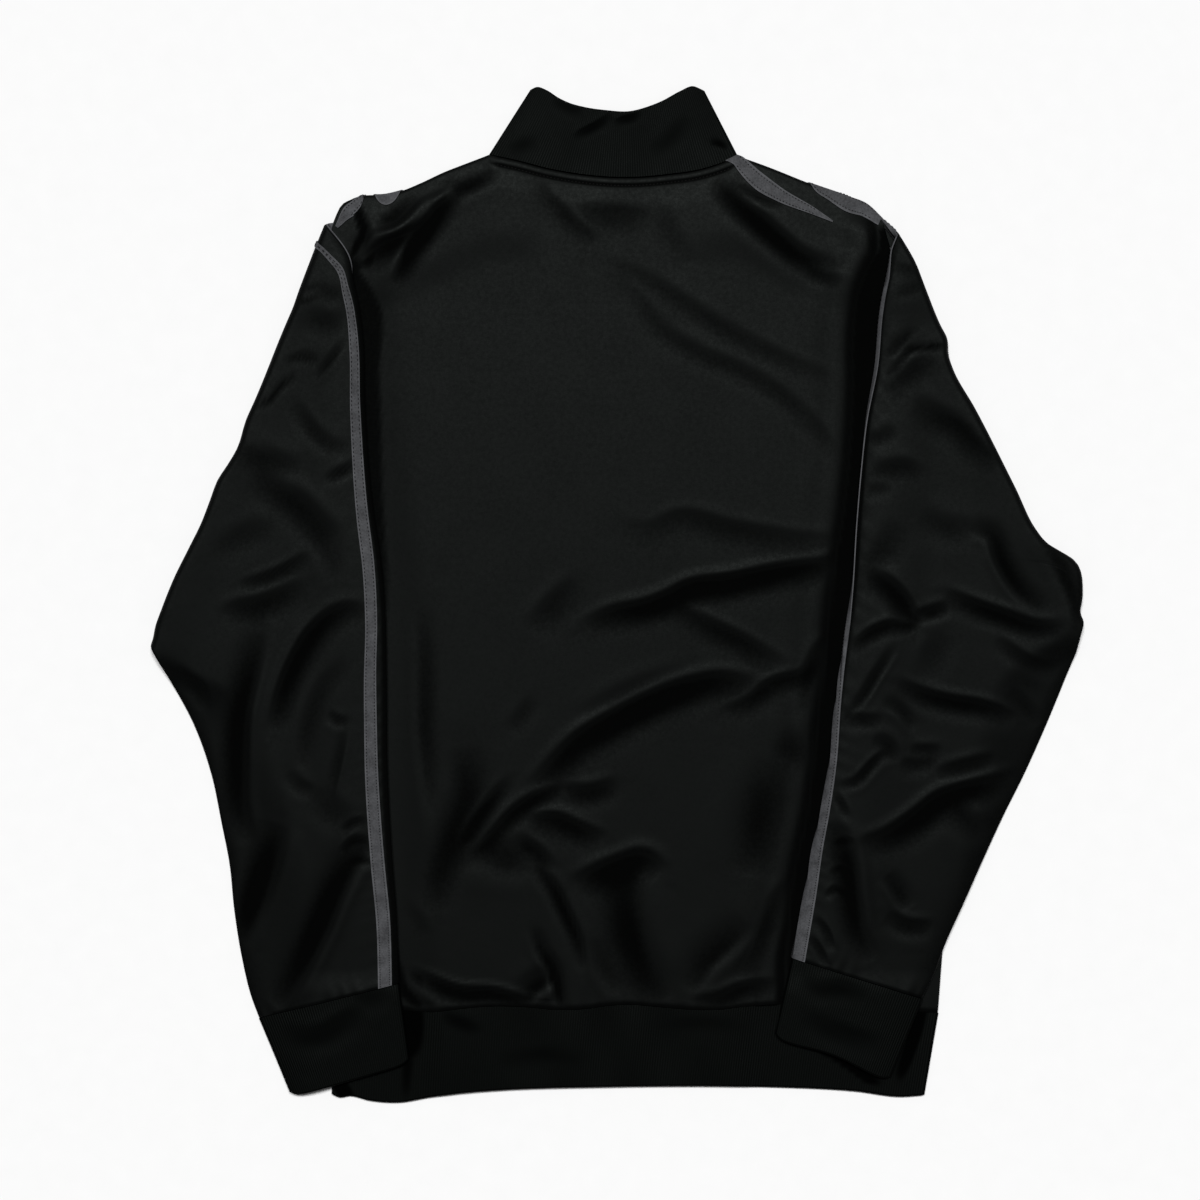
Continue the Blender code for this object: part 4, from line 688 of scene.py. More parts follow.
class Sleeve:
    """A sleeve as a flat tube, folded over at the line from shoulder to elbow.

    Flat places are p, along the fold line from the shoulder, and q, past the fold line. The ruled rows
    run from the underarm seam to the taped edge. The share v goes from the armhole to the cuff.
    """

    def __init__(self, side, corners, taped_edge, under_edge, outline, insets, body_edge, table):
        shoulder, elbow, armpit = corners
        self.side, self.table = side, table
        self.turn = 1 if side == "left" else -1
        self.shoulder = np.array(shoulder, float)
        span = np.subtract(elbow, shoulder)
        self.reach = float(np.linalg.norm(span))
        self.along = span / self.reach
        self.inward = self.turn * np.array([-self.along[1], self.along[0]])
        from_shoulder = np.subtract(armpit, shoulder)
        armpit_flat = (from_shoulder @ self.along, -(from_shoulder @ self.inward))
        self.taped = Line([(0.0, 0.0)] + [self.flat(point) for point in taped_edge])
        self.under = Line([armpit_flat, (self.reach, 0.0)] + [self.flat(point) for point in under_edge])
        self.outline, self.insets, self.body_edge = Edge(outline), Edge(insets), Edge(body_edge)

    def flat(self, point):
        """The flat place of a point of the folded top layers."""
        away = np.subtract(point, self.shoulder)
        past = away @ self.inward
        return away @ self.along, past + FOLD_TURN * smooth(past / FOLD_ROUNDING)

    def section(self, v):
        """The two ends of a ruled row, at the underarm seam and at the taped edge, and its length."""
        under, taped = self.under.at(v), self.taped.at(v + ROW_SLANT * v * (1 - v))
        return under, taped, np.linalg.norm(taped - under, axis=-1)

    def rest_height(self, x, y):
        """What the top layers lie on: the body and the under layers of the sleeve, or the floor."""
        edge = self.body_edge.at(y)
        past = (edge - x if self.side == "left" else x - edge) - BODY_CLEAR
        on_band = BAND_EXTRA * smooth((BAND_TOP_Y - y) / BAND_SLOPE)
        return smooth(1 - past / BODY_SLOPE) * (BODY_STACK + on_band)

    def point(self, v, c, out):
        """A point of the wall, c round the tube from its taped edge and out from the wall's middle."""
        under, taped, width = self.section(v)
        across, rise, out_across, out_rise = flat_ring(c, width, EDGE_RADIUS)
        place = (across + out * out_across)[..., None]
        height = STACK / 2 + rise + out * out_rise
        flat = under + (taped - under) * place / width[..., None]
        p, q = flat[..., 0], flat[..., 1]
        turning = (q > 0) & (q < FOLD_TURN)
        beyond = np.where(q <= 0, -q, q - FOLD_TURN)
        past = np.where(turning, -(FOLD_AXIS - height) * np.sin(q / FOLD_MEAN), beyond)
        folded = FOLD_AXIS - (FOLD_AXIS - height) * np.cos(np.clip(q / FOLD_MEAN, 0, math.pi))
        bulge = self.outline.at(p) * smooth(1 - np.abs(past) / OUTLINE_BREADTH) * smooth(v / HEAD)
        plan = self.shoulder + self.along * p[..., None] + self.inward * (past - bulge)[..., None]
        x, y = plan[..., 0], plan[..., 1]
        settled = smooth((q - FOLD_TURN / 2) / SETTLE_RUN)
        upper = (STACK / 2 - rise - CLOTH / 2) / (STACK - CLOTH)
        inside = np.minimum(across, width - across)
        full = SLEEVE_PUFF * (1 - np.exp(-inside / EDGE_FADE))
        fold = soft_floor(creases(self.table, x, y), DEEPEST_FOLD * SLEEVE_PUFF)
        fold = fold * (1 - np.exp(-inside / FOLD_FADE))
        from_edge = width - across
        puckers = np.sin(self.taped.length * v / PUCKER_PITCH + 2.5 * np.sin(v * 31))
        puckers = PUCKER_DEPTH * puckers * np.exp(-from_edge / 9)
        cuff_gathers = CUFF_GATHERS * gathered(across, 2.6, 3, 11) * np.exp(-(1 - v) * SEAM_LENGTH / 12)
        fold = fold + (puckers + cuff_gathers) * smooth(from_edge / 5) * smooth(across / 5)
        under_tape = TAPED_RISE * smooth((TAPED_BREADTH - from_edge) / TAPED_SLOPE)
        laid = self.rest_height(x, y) + under_tape + STACK - height + upper * (full + fold)
        z = folded + (laid - folded) * settled + tape_lift(x, y)
        return np.stack([x, y, z], axis=-1)


LEFT_CREASES = [
    # depth, width, lean, path
    (2.6, 6.0, 0.8, [
        (-190, -16), (-203, -12), (-216, -16), (-230, -28), (-243, -48), (-254, -74), (-262, -106),
    ]),
    (1.4, 4.0, 0.8, [(-287, 6), (-272, 10), (-257, 16), (-234, 29)]),
    (1.5, 7.0, 0.8, [(-300, -18), (-291, -13), (-272, -8), (-253, 0), (-238, 8)]),
    (2.6, 7.5, -0.8, [
        (-270, -28), (-274, -44), (-278, -60), (-286, -94), (-288, -130), (-287, -165),
        (-280, -192),
    ]),
    (1.0, 6.0, 0.3, [(-205, -52), (-224, -72), (-236, -104), (-240, -134)]),
    (3.0, 10.0, -0.4, [(-258, -174), (-264, -196), (-272, -222), (-282, -250), (-288, -268)]),
    (3.0, 8.5, -0.6, [
        (-186, -186), (-200, -202), (-214, -226), (-226, -254), (-240, -282), (-260, -316),
    ]),
    (1.5, 9.0, 0.5, [(-278, 92), (-262, 80), (-244, 68), (-228, 52), (-212, 40)]),
    (1.2, 8.0, 0.5, [(-292, 112), (-274, 105), (-256, 98), (-240, 94)]),
    (1.6, 2.2, 0.6, [(-277, 146), (-266, 146), (-258, 156), (-244, 166)]),
    (1.3, 2.6, -0.3, [(-208, 190), (-218, 176), (-230, 163)]),
    (1.3, 3.0, 0.4, [(-252, 178), (-240, 180), (-226, 176)]),
    (1.0, 4.5, 0.4, [(-246, 146), (-232, 124), (-216, 112), (-203, 112)]),
    (1.4, 3.0, 0.4, [(-222, 86), (-210, 92), (-198, 98)]),
    (1.5, 5.0, 0.5, [(-334, -62), (-326, -68), (-318, -74), (-316, -88)]),
    (1.2, 2.6, 0.5, [(-210, -180), (-201, -174), (-190, -173)]),
    (1.4, 2.4, 0.6, [(-210, -196), (-200, -187), (-188, -188)]),
    (1.2, 2.4, 0.3, [(-204, -204), (-196, -202), (-186, -206)]),
    (1.0, 3.0, 0.4, [(-220, -92), (-211, -97), (-204, -97)]),
    (1.0, 3.0, -0.6, [(-207, -103), (-212, -128), (-219, -158)]),
    (0.8, 4.5, 0.3, [(-250, -136), (-242, -146), (-230, -152)]),
    (1.2, 2.2, 0.4, [(-250, 224), (-238, 222), (-226, 226)]),
    (1.0, 2.2, 0.4, [(-246, 232), (-236, 232), (-226, 234)]),
    (0.8, 9.0, 0.3, [(-230, -150), (-216, -166), (-200, -176)]),
    (0.7, 8.0, 0.4, [(-310, 30), (-284, 44), (-258, 52)]),
    (0.6, 8.0, -0.3, [(-214, 10), (-222, 34), (-236, 50)]),
    (0.9, 7.0, 0.5, [(-236, 214), (-222, 206), (-208, 204)]),
    (0.8, 6.0, 0.4, [(-228, 236), (-216, 228), (-206, 230)]),
]
RIGHT_CREASES = [
    # depth, width, lean, path
    (1.9, 2.2, 0.5, [(216, 184), (230, 187), (240, 188), (252, 190)]),
    (1.5, 2.4, 0.5, [(202, 164), (212, 174), (220, 184), (230, 195)]),
    (1.2, 4.0, -0.3, [(202, 178), (215, 190), (228, 202)]),
    (1.1, 7.0, 0.6, [(202, 150), (214, 162), (228, 172), (244, 180)]),
    (1.6, 8.0, 0.7, [(226, 146), (244, 135), (259, 129), (274, 113), (292, 98)]),
    (1.1, 6.0, 0.6, [(190, 90), (206, 95), (222, 95), (232, 86)]),
    (2.4, 6.5, 0.6, [(188, 14), (202, 8), (214, -3), (222, -16), (226, -30)]),
    (1.8, 4.0, 0.4, [(224, -20), (236, -15), (252, -10)]),
    (2.3, 5.0, 0.8, [(248, 0), (270, -9), (293, -17), (317, -25), (342, -24)]),
    (2.2, 5.5, -0.5, [(268, 50), (284, 44), (291, 26), (304, 4), (326, -14)]),
    (2.2, 5.0, 0.8, [(212, -68), (230, -76), (252, -82), (277, -86), (304, -96)]),
    (1.2, 4.5, 0.5, [(288, -34), (302, -46), (318, -55), (336, -58)]),
    (2.8, 7.0, 0.9, [
        (304, -140), (286, -145), (266, -149), (246, -156), (226, -171), (206, -184), (184, -192),
    ]),
    (2.5, 7.5, -0.5, [(158, -174), (168, -184), (175, -206), (178, -232), (183, -258), (194, -280)]),
    (2.0, 3.8, 0.8, [(176, -42), (192, -30), (208, -24), (226, -26)]),
    (1.6, 2.8, -0.3, [(172, -94), (184, -82), (196, -63), (210, -42)]),
    (1.6, 2.8, 0.4, [(168, -146), (180, -143), (192, -131), (206, -118)]),
    (1.2, 5.0, 0.3, [(194, -110), (206, -116), (212, -128)]),
    (1.3, 2.4, 0.4, [(164, -151), (170, -160), (175, -171)]),
    (1.5, 5.0, 0.5, [(204, -244), (218, -252), (240, -254)]),
    (1.2, 2.2, 0.5, [(164, -190), (171, -187), (179, -190)]),
    (1.2, 2.2, 0.4, [(162, -213), (169, -208), (177, -212)]),
    (1.2, 2.2, 0.4, [(158, -230), (166, -224), (174, -229)]),
    (1.4, 2.4, 0.5, [(150, -246), (158, -256), (164, -271)]),
    (1.3, 2.4, 0.5, [(146, -261), (153, -270), (159, -283)]),
    (1.6, 6.0, -0.5, [(318, 48), (327, 36), (338, 14), (346, -6), (350, -34)]),
    (0.8, 4.0, 0.4, [(186, 76), (196, 79), (208, 80)]),
    (0.9, 5.0, 0.5, [(210, 250), (222, 246), (234, 245)]),
    (0.9, 5.0, -0.4, [(210, 226), (222, 230), (236, 234)]),
    (1.0, 5.0, 0.4, [(186, 116), (200, 120), (212, 124)]),
    (1.2, 4.0, 0.5, [(170, -93), (184, -96), (202, -96)]),
    (1.2, 4.0, -0.3, [(202, -82), (214, -88), (226, -104)]),
    (1.2, 4.5, 0.5, [(222, -120), (234, -120), (246, -120)]),
    (1.1, 4.5, 0.5, [(214, -131), (228, -130), (244, -128)]),
    (1.4, 5.0, 0.5, [(242, -138), (262, -132), (288, -126)]),
    (1.1, 8.0, 0.5, [(254, -162), (268, -174), (284, -186)]),
    (1.1, 5.0, 0.4, [(298, -74), (310, -86), (322, -100)]),
    (1.4, 5.0, -0.5, [(204, -214), (212, -226), (220, -240)]),
    (0.9, 10.0, 0.3, [(214, 54), (200, 32), (186, 14)]),
    (0.8, 8.0, 0.4, [(230, 60), (250, 50), (272, 46)]),
    (0.7, 8.0, 0.3, [(250, -30), (240, -48), (236, -66)]),
]
LEFT = Sleeve(
    "left", (SHOULDER_LEFT, (-350, -35), ARMPIT_LEFT), TAPED_LEFT,
    under_edge=[
        (-339, -68), (-322, -100), (-309, -137), (-301, -175), (-295, -206), (-291.5, -240),
        (-286, -275), (-278, -308), (-272.5, -322.6),
    ],
    outline=[
        (0, 0), (34, -3.4), (58, -4.6), (70, -5.4), (80, -4.2), (92, -3.4), (120, -3.1), (148, -3),
        (163, -2.7), (185, -5), (200, -3), (213, -0.6), (230, -1.2), (248, -1.8), (270, -0.5), (294, 1),
        (322, 0.5), (334, -0.2), (344, -2.2), (350, -2.6), (360, -1), (370, 0),
    ],
    insets=[(0, 5), (1, 5)],
    body_edge=[
        (290, -420), (10, -380), (-33, -352), (-80, -275), (-130, -252), (-318, -215), (-375, -217),
    ],
    table=LEFT_CREASES,
)
RIGHT = Sleeve(
    "right", (SHOULDER_RIGHT, (350, -14.5), ARMPIT_RIGHT), TAPED_RIGHT,
    under_edge=[
        (340, -66), (326, -100), (309, -138), (293, -170), (278, -202), (262.6, -236), (249, -266),
        (240, -290), (231.4, -307.4),
    ],
    outline=[
        (0, 0), (42, 5), (59, 1.6), (93, -1.8), (104, -1.6), (116, -6.4), (127, -8), (161, -6.3),
        (229, -5.7), (266, -5.6), (277, -3), (288, 4), (297, 9.6), (304, 11.2), (310, 10.4),
        (320, 6.4), (328, 2), (335, -3.2), (342, -4.2), (350, -3), (362, 0),
    ],
    insets=[(0, -9.5), (0.5, -9.5), (0.575, -7.7), (0.73, -5.5), (0.88, -3.1), (1, -2)],
    body_edge=[
        (290, 420), (14, 380), (-12, 356), (-60, 284), (-110, 264), (-280, 247), (-319, 244),
        (-340, 241), (-360, 236),
    ],
    table=RIGHT_CREASES,
)


def fold_places(columns, width, margin, centre, crowding):
    """Places across a flattened tube, denser where it turns over the fold."""
    samples = np.linspace(margin, width - margin, 400)
    centre = np.clip(centre, samples[0], samples[-1])
    crowd = 1 + crowding * bell((samples - centre) / 9)
    total = np.concatenate([[0.0], np.cumsum((crowd[1:] + crowd[:-1]) / 2)])
    return np.interp(np.linspace(0, total[-1], columns), total, samples)


def sleeve_ring(sleeve, v):
    """The places round one row of a sleeve: visible run, turn at the underarm, hidden run, turn."""
    under, taped, width = sleeve.section(v)
    steep = (taped[1] - under[1]) / width
    centre = (FOLD_TURN / 2 - under[1]) / steep
    run = width - 2 * EDGE_RADIUS
    turn = EDGE_ARC * np.linspace(-1, 1, EDGE_COLUMNS)
    shown = EDGE_ARC + width - EDGE_RADIUS - fold_places(OUTER_COLUMNS, width, 2.0, centre, 3.0)[::-1]
    hidden = 3 * EDGE_ARC + run - EDGE_RADIUS + fold_places(HIDDEN_COLUMNS, width, 4.0, centre, 8.0)
    return np.concatenate([turn, shown, 2 * EDGE_ARC + run + turn, hidden])


head_rows = np.linspace(0, HEAD, HEAD_ROWS, endpoint=False)
rows_v = np.concatenate([head_rows, HEAD + (1 - HEAD) * close_edges(SLEEVE_ROWS, 560.0)])
for sleeve in (LEFT, RIGHT):
    ring = np.array([sleeve_ring(sleeve, v) for v in rows_v])
    v = np.repeat(rows_v[:, None], ring.shape[1], axis=1)
    points = sleeve.point(v, ring, CLOTH / 2)
    to_seam = np.minimum(v * HEAD_LENGTH, (1 - v) * SEAM_LENGTH)
    points[..., 2] -= SEAM_DIP * bell(to_seam / EDGE_BREADTH) * (points[..., 2] > UPPER_FROM)
    x, y, z = np.moveaxis(points, -1, 0)
    # painted shade: darker colour in the dips of the creases on the upper layers, and a dark strip
    # along the taped edge, where the fold lies in shadow
    painted_crease_shade = np.clip(-creases(sleeve.table, x, y) / 2.2, 0, 1) * smooth((z - 2.0) / 0.9)
    painted_shade_beside_tape = 0.85 * smooth((5 - np.abs(ring)) / 1.5) * smooth(v / 0.1)
    painted_shade = np.maximum(painted_crease_shade, painted_shade_beside_tape)[:, ::sleeve.turn]
    panel = cloth("sleeve_panel_" + sleeve.side, points[:, ::sleeve.turn], CLOTH, painted_shade, ring=True)
    panel.data.materials.append(cloth_finish)
    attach(panel, "root")
    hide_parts("sleeve_" + sleeve.side)

# ---- Cuffs ----
# Two tubes of black rib knit, each folded double at its free edge and sewn to the end of a sleeve by
# its two raw edges. They lie over the sides of the hem band.

RIB, RIB_PUFF, RIB_FOLD = 1.8, 1.6, 0.45
RIB_PITCH, RIB_SAMPLES, RIB_GROOVE = 1.9, 5, 0.22
RIB_STACK = 2 * RIB + LAYER_GAP
RIB_RADIUS = (RIB + LAYER_GAP) / 2
RIB_ARC = math.pi * RIB_RADIUS / 2
RIB_ENDS, INNER_SHARES = (0.0, 0.02, 0.05), (1.0, 0.7, 0.35, 0.0)


def ribs(c):
    """The grooves between the ribs, as rises of less than 0 along the ring of a rib tube."""
    return -RIB_GROOVE * (0.5 + 0.5 * np.cos(2 * np.pi * c / RIB_PITCH)) ** 3


def close_shell(corner):
    """Fills the new piece's open ends, turns its faces outwards and smooths it up to a corner."""
    bpy.ops.object.mode_set(mode="EDIT")
    bpy.ops.mesh.select_all(action="SELECT")
    bpy.ops.mesh.fill_holes(sides=0)
    bpy.ops.mesh.select_all(action="SELECT")
    bpy.ops.mesh.normals_make_consistent(inside=False)
    bpy.ops.object.mode_set(mode="OBJECT")
    bpy.ops.object.shade_smooth_by_angle(angle=math.radians(corner))


def doubled(name, place, c, rows, ring, shadow):
    """A rib strip folded double: its outer face from the seam to the fold, then its inner face back.

    place(c, share, out) gives the plan points for places c round the tube, and shadow(x, y) the
    painted shade on its upper face.
    """
    shares = np.concatenate([RIB_ENDS, np.linspace(0.08, 0.92, rows), 1 - np.array(RIB_ENDS[::-1])])
    lines = [place(c, np.full(c.shape, share), RIB / 2 + ribs(c)) for share in shares]
    whole, level = np.ones(c.shape), np.zeros(c.shape)
    beyond = place(c, whole, RIB_FOLD * RIB + ribs(c)) - lines[-2]
    lines.append(place(c, whole, level) + 0.5 * beyond / np.linalg.norm(beyond, axis=1)[:, None])
    lines += [place(c, share * whole, level - RIB / 2) for share in INNER_SHARES]
    points = np.stack(lines + lines[:1])
    if ring:
        points = np.concatenate([points, points[:, :1]], axis=1)
        c = np.concatenate([c, c[:1]])
    # painted shade: darker in the grooves between the ribs, and wherever shadow() paints it
    painted_shade = np.maximum(-ribs(c) / RIB_GROOVE * 0.3, shadow(points[..., 0], points[..., 1]))
    piece = grid_piece(name, points, painted_shade)
    close_shell(corner=70)
    return piece


def rib_knit(name):
    """Black rib knit: matt yarn, with small stitches along each rib, darkened by painted shade."""
    material, principled, shade = finish_of(name, {
        "Specular IOR Level": 0.031, "Specular Tint": (0.88, 1.0, 0.94, 1),
    })
    place = shade.node("ShaderNodeTexCoord", output="Object")
    cloud = noise(place, scale=40.0)
    stitches = shade.node(
        "ShaderNodeTexWave", {"bands_direction": "Y"},
        {"Vector": place, "Scale": 420.0, "Distortion": 1.5, "Detail": 1.0}, output=1,
    )
    painted_shade = shade.node("ShaderNodeAttribute", {"attribute_name": "painted_shade"}, output="Fac")
    # painted shade: the colour darkens with the share of painted shade kept on the piece, while the
    # cloud varies its tone at random
    light = (cloud * 0.6 + 0.7) * (1.0 - painted_shade)
    link(blend(light, (0.0001, 0.0001, 0.0001), (0.0010, 0.0012, 0.0011)), principled, "Base Color")
    link(cloud * 0.24 + painted_shade * 0.7 + 0.28, principled, "Roughness")
    emboss(stitches, principled, strength=0.15, distance=0.0004)
    return material


rib_finish = rib_knit("rib_knit")
CUFF_ROUNDING = 0.06
CUFFS = {
    # side: its sleeve, the far and the taped end of its seam and of its free edge, and that edge's bow
    "left": (LEFT, (-272.3, -323.0), (-166.9, -296.6), (-247.4, -382.5), (-158.5, -357.0), 0.0),
    "right": (RIGHT, (231.3, -308.0), (133.5, -277.6), (205.6, -370.5), (119.7, -338.0), 0.06),
}
CUFF_CREASES = [
    # depth, width, lean, path
    (1.0, 7.0, 0.4, [(-258, -334), (-240, -338), (-222, -335), (-206, -326), (-190, -318)]),
    (0.7, 6.0, 0.3, [(-200, -310), (-184, -308), (-172, -303)]),
    (1.0, 6.0, 0.4, [(138, -292), (152, -300), (170, -300), (190, -308)]),
    (0.8, 7.0, 0.3, [(140, -322), (156, -330), (176, -338), (200, -344)]),
]
for side, (sleeve, seam_far, seam_taped, end_far, end_taped, bow) in CUFFS.items():
    corners = np.array([[seam_far, seam_taped], [end_far, end_taped]])
    cuff_width = float(np.linalg.norm(corners[0, 1] - corners[0, 0]))
    round_trip = 4 * RIB_ARC + 2 * (cuff_width - 2 * RIB_RADIUS)
    count = RIB_SAMPLES * round(round_trip / RIB_PITCH)

    def cuff_point(c, down, out):
        across, rise, out_across, out_rise = flat_ring(c, cuff_width, RIB_RADIUS)
        share = ((across + out * out_across) / cuff_width)[:, None]
        inside = np.minimum(across, cuff_width - across)
        bowed = bow * np.sin(np.pi * across / cuff_width) ** 2
        reached = down * (1 - CUFF_ROUNDING * np.exp(-inside / 4) - bowed)
        far, taped = corners[0, :, None] + (corners[1] - corners[0])[:, None] * reached[:, None]
        plan = far + (taped - far) * share
        x, y = plan[:, 0], plan[:, 1]
        upper = (RIB_RADIUS - rise) / (2 * RIB_RADIUS)
        full = (RIB_PUFF + creases(CUFF_CREASES, x, y)) * (1 - np.exp(-inside / 10))
        z = sleeve.rest_height(x, y) + RIB_STACK / 2 - rise - out * out_rise + upper * full
        return np.stack([x, y, z], axis=-1)

    places = np.arange(count) * round_trip / count
    cuff = doubled(
        "cuff_" + side + "_rib", cuff_point, places, rows=20, ring=True,
        shadow=lambda x, y: np.clip(-creases(CUFF_CREASES, x, y) / 2, 0, 0.9),
    )
    cuff.data.materials.append(rib_finish)
    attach(cuff, "root")
    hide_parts("cuff_" + side)

# ---- Hem band ----
# One strip of the same rib knit, doubled, from zip to zip round the hem. It is sewn to the lower
# edges of the back and fronts. The cuffs lie over its two sides.

BAND_LEFT_X, BAND_RIGHT_X = -217.0, 233.0
BAND_WIDTH, BAND_WAVES, CUFFS_INNER = HEM_RIGHT[0] - HEM_LEFT[0], 0.5, (-152, 112)
band_foot = Edge([
    (BAND_LEFT_X, -381), (-212, -383), (-204, -382), (-189, -385.5), (-167, -387), (-140, -382.5),
    (-119, -379.8), (-89, -377.4), (-13, -375), (108, -375), (181, -378.4), (217, -382.6),
    (BAND_RIGHT_X, -381.5),
])


def strip_places(width, slot_start, slot_end):
    """Places round a rib tube from one side of the zip's slot all round to the other."""
    round_trip = 4 * RIB_ARC + 2 * (width - 2 * RIB_RADIUS)
    start = RIB_ARC + width - RIB_RADIUS - slot_start
    end = round_trip + RIB_ARC + width - RIB_RADIUS - slot_end
    return np.arange(start, end, RIB_PITCH / RIB_SAMPLES)


def band_point(c, down, out):
    across, rise, out_across, out_rise = flat_ring(c, BAND_WIDTH, RIB_RADIUS)
    share = (across + out * out_across) / BAND_WIDTH
    seam_x = HEM_LEFT[0] + share * BAND_WIDTH
    foot_x = BAND_LEFT_X + share * (BAND_RIGHT_X - BAND_LEFT_X)
    x = seam_x + (foot_x - seam_x) * down
    y = (1 - down) * (hem_seam.at(seam_x) - SEAM) + down * band_foot.at(foot_x)
    upper = (RIB_RADIUS + rise) / (2 * RIB_RADIUS)
    between_cuffs = between(x, *CUFFS_INNER, 24)
    waves = BAND_WAVES * gathered(x, 11, 1.7, 37) * between_cuffs * np.sin(np.pi * down)
    z = RIB_STACK / 2 + rise + out * out_rise + upper * (RIB_PUFF * between_cuffs + waves)
    return np.stack([x, y, z], axis=-1)


# painted shade only, in the form of crease rows: strips of shadow beside and under the cuffs and a few
# faint folds. The band's surface doesn't follow them
BAND_SHADE_PATHS = [
    # depth, width, lean, path
    (1.2, 8.5, 0.0, [(-158, -300), (-156, -320), (-156, -336), (-158, -354)]),
    (0.5, 5.0, 0.0, [(-158, -346), (-160, -362), (-161, -386)]),
    (1.4, 5.5, 0.0, [(-216, -362), (-211, -374), (-203, -386)]),
    (1.3, 4.5, 0.0, [(150, -344), (166, -351), (180, -360), (192, -369), (202, -373)]),
    (1.2, 5.0, 0.0, [(234, -306), (229, -326), (222, -348), (213, -372)]),
    (0.4, 7.0, 0.0, [(-140, -318), (-120, -326), (-100, -333)]),
    (0.3, 9.0, 0.0, [(-96, -356), (-60, -350), (-20, -356)]),
    (0.25, 8.0, 0.0, [(20, -330), (60, -326), (104, -330)]),
]


def band_painted_shade(x, y):
    """Painted shade on the band's folds, most of them shadows beside the two cuffs that lie on it."""
    return np.clip(-1.6 * creases(BAND_SHADE_PATHS, x, y), 0, 1)


slot = ZIP_HEM_X - HEM_LEFT[0]
places = strip_places(BAND_WIDTH, slot - ZIP_SLOT / 2, slot + ZIP_SLOT / 2)
band = doubled("hem_band_rib", band_point, places, rows=16, ring=False, shadow=band_painted_shade)
band.data.materials.append(rib_finish)
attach(band, "root")
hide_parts("hem_band")

# ---- Collar ----
# A stand collar of the same rib knit, from zip to zip. Its back half lies flat above the neck seam,
# and its front halves lie under that and the back panel.

COLLAR_LEFT, COLLAR_RIGHT = (-65.7, 383.5), (65.7, 382.5)
COLLAR_WIDTH = NECK_RIGHT[0] - NECK_LEFT[0]
COLLAR_SLOT = ZIP_SLOT * COLLAR_WIDTH / (COLLAR_RIGHT[0] - COLLAR_LEFT[0]) + 0.4
collar_top = Edge([
    COLLAR_LEFT, (-62, 385), (-54, 382.6), (-45, 376.8), (-37, 373), (-25, 369.7),
    (-10, 367.5), (11, 366.8), (22, 369.7), (34, 374.4), (48, 382), (57, 385.6), COLLAR_RIGHT,
])
COLLAR_CREASES = [
    # depth, width, lean, path
    (1.1, 2.8, 0.6, [(-34, 346), (-26, 351), (-16, 356), (-4, 364)]),
    (1.0, 2.6, 0.5, [(-3, 357), (4, 360), (12, 362), (18, 366)]),
    (1.3, 2.6, -0.4, [(70, 342), (76, 342), (84, 338)]),
    (0.6, 6.0, 0.3, [(-84, 336), (-76, 340), (-60, 344)]),
    (0.7, 3.5, 0.3, [(-50, 376), (-40, 370), (-26, 364)]),
    (0.6, 6.0, 0.3, [(24, 336), (40, 346), (54, 364)]),
]


def collar_point(c, up, out):
    across, rise, out_across, out_rise = flat_ring(c, COLLAR_WIDTH, RIB_RADIUS)
    share = (across + out * out_across) / COLLAR_WIDTH
    seam_x = NECK_LEFT[0] + share * COLLAR_WIDTH
    top_x = COLLAR_LEFT[0] + share * (COLLAR_RIGHT[0] - COLLAR_LEFT[0])
    upper = (RIB_RADIUS + rise) / (2 * RIB_RADIUS)
    back_y = (1 - up) * neck_back.at(seam_x) + up * collar_top.at(top_x)
    front_top_y = slung(top_x, FRONT_NECK_Y + COLLAR_FRONT_HEIGHT, COLLAR_LEFT, COLLAR_RIGHT)
    front_y = (1 - up) * front_neck(seam_x) + up * front_top_y
    behind = np.minimum(upper * 7, 1.0)
    x, y = seam_x + (top_x - seam_x) * up, back_y * behind + front_y * (1 - behind)
    inside = np.minimum(across, COLLAR_WIDTH - across)
    full = (RIB_PUFF + creases(COLLAR_CREASES, x, y)) * (1 - np.exp(-inside / 14))
    z = RIB_STACK / 2 + rise + out * out_rise + upper * full + tape_lift(x, y)
    return np.stack([x, y, z], axis=-1)


slot = ZIP_NECK_X - NECK_LEFT[0]
places = strip_places(COLLAR_WIDTH, slot - COLLAR_SLOT / 2, slot + COLLAR_SLOT / 2)
collar = doubled(
    "collar_rib", collar_point, places, rows=26, ring=False,
    shadow=lambda x, y: np.clip(-creases(COLLAR_CREASES, x, y) / 1.7, 0, 0.75),
)
collar.data.materials.append(rib_finish)
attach(collar, "root")
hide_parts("collar")

# ---- Tapes on the sleeves ----
# Flat woven grey tapes, two a sleeve, sewn down near both edges from the shoulder to the cuff. One
# lies on the folded sleeve's inner edge, and the other is mostly in the fold beside it.

TAPE, TAPE_WIDTH, TAPE_GAP = 0.8, 11.5, 14.0
HEAD_WIDTH, WIDENED_FROM, WIDENED_OVER, TAPE_COLUMNS = 3.2, 0.04, 0.05, 9


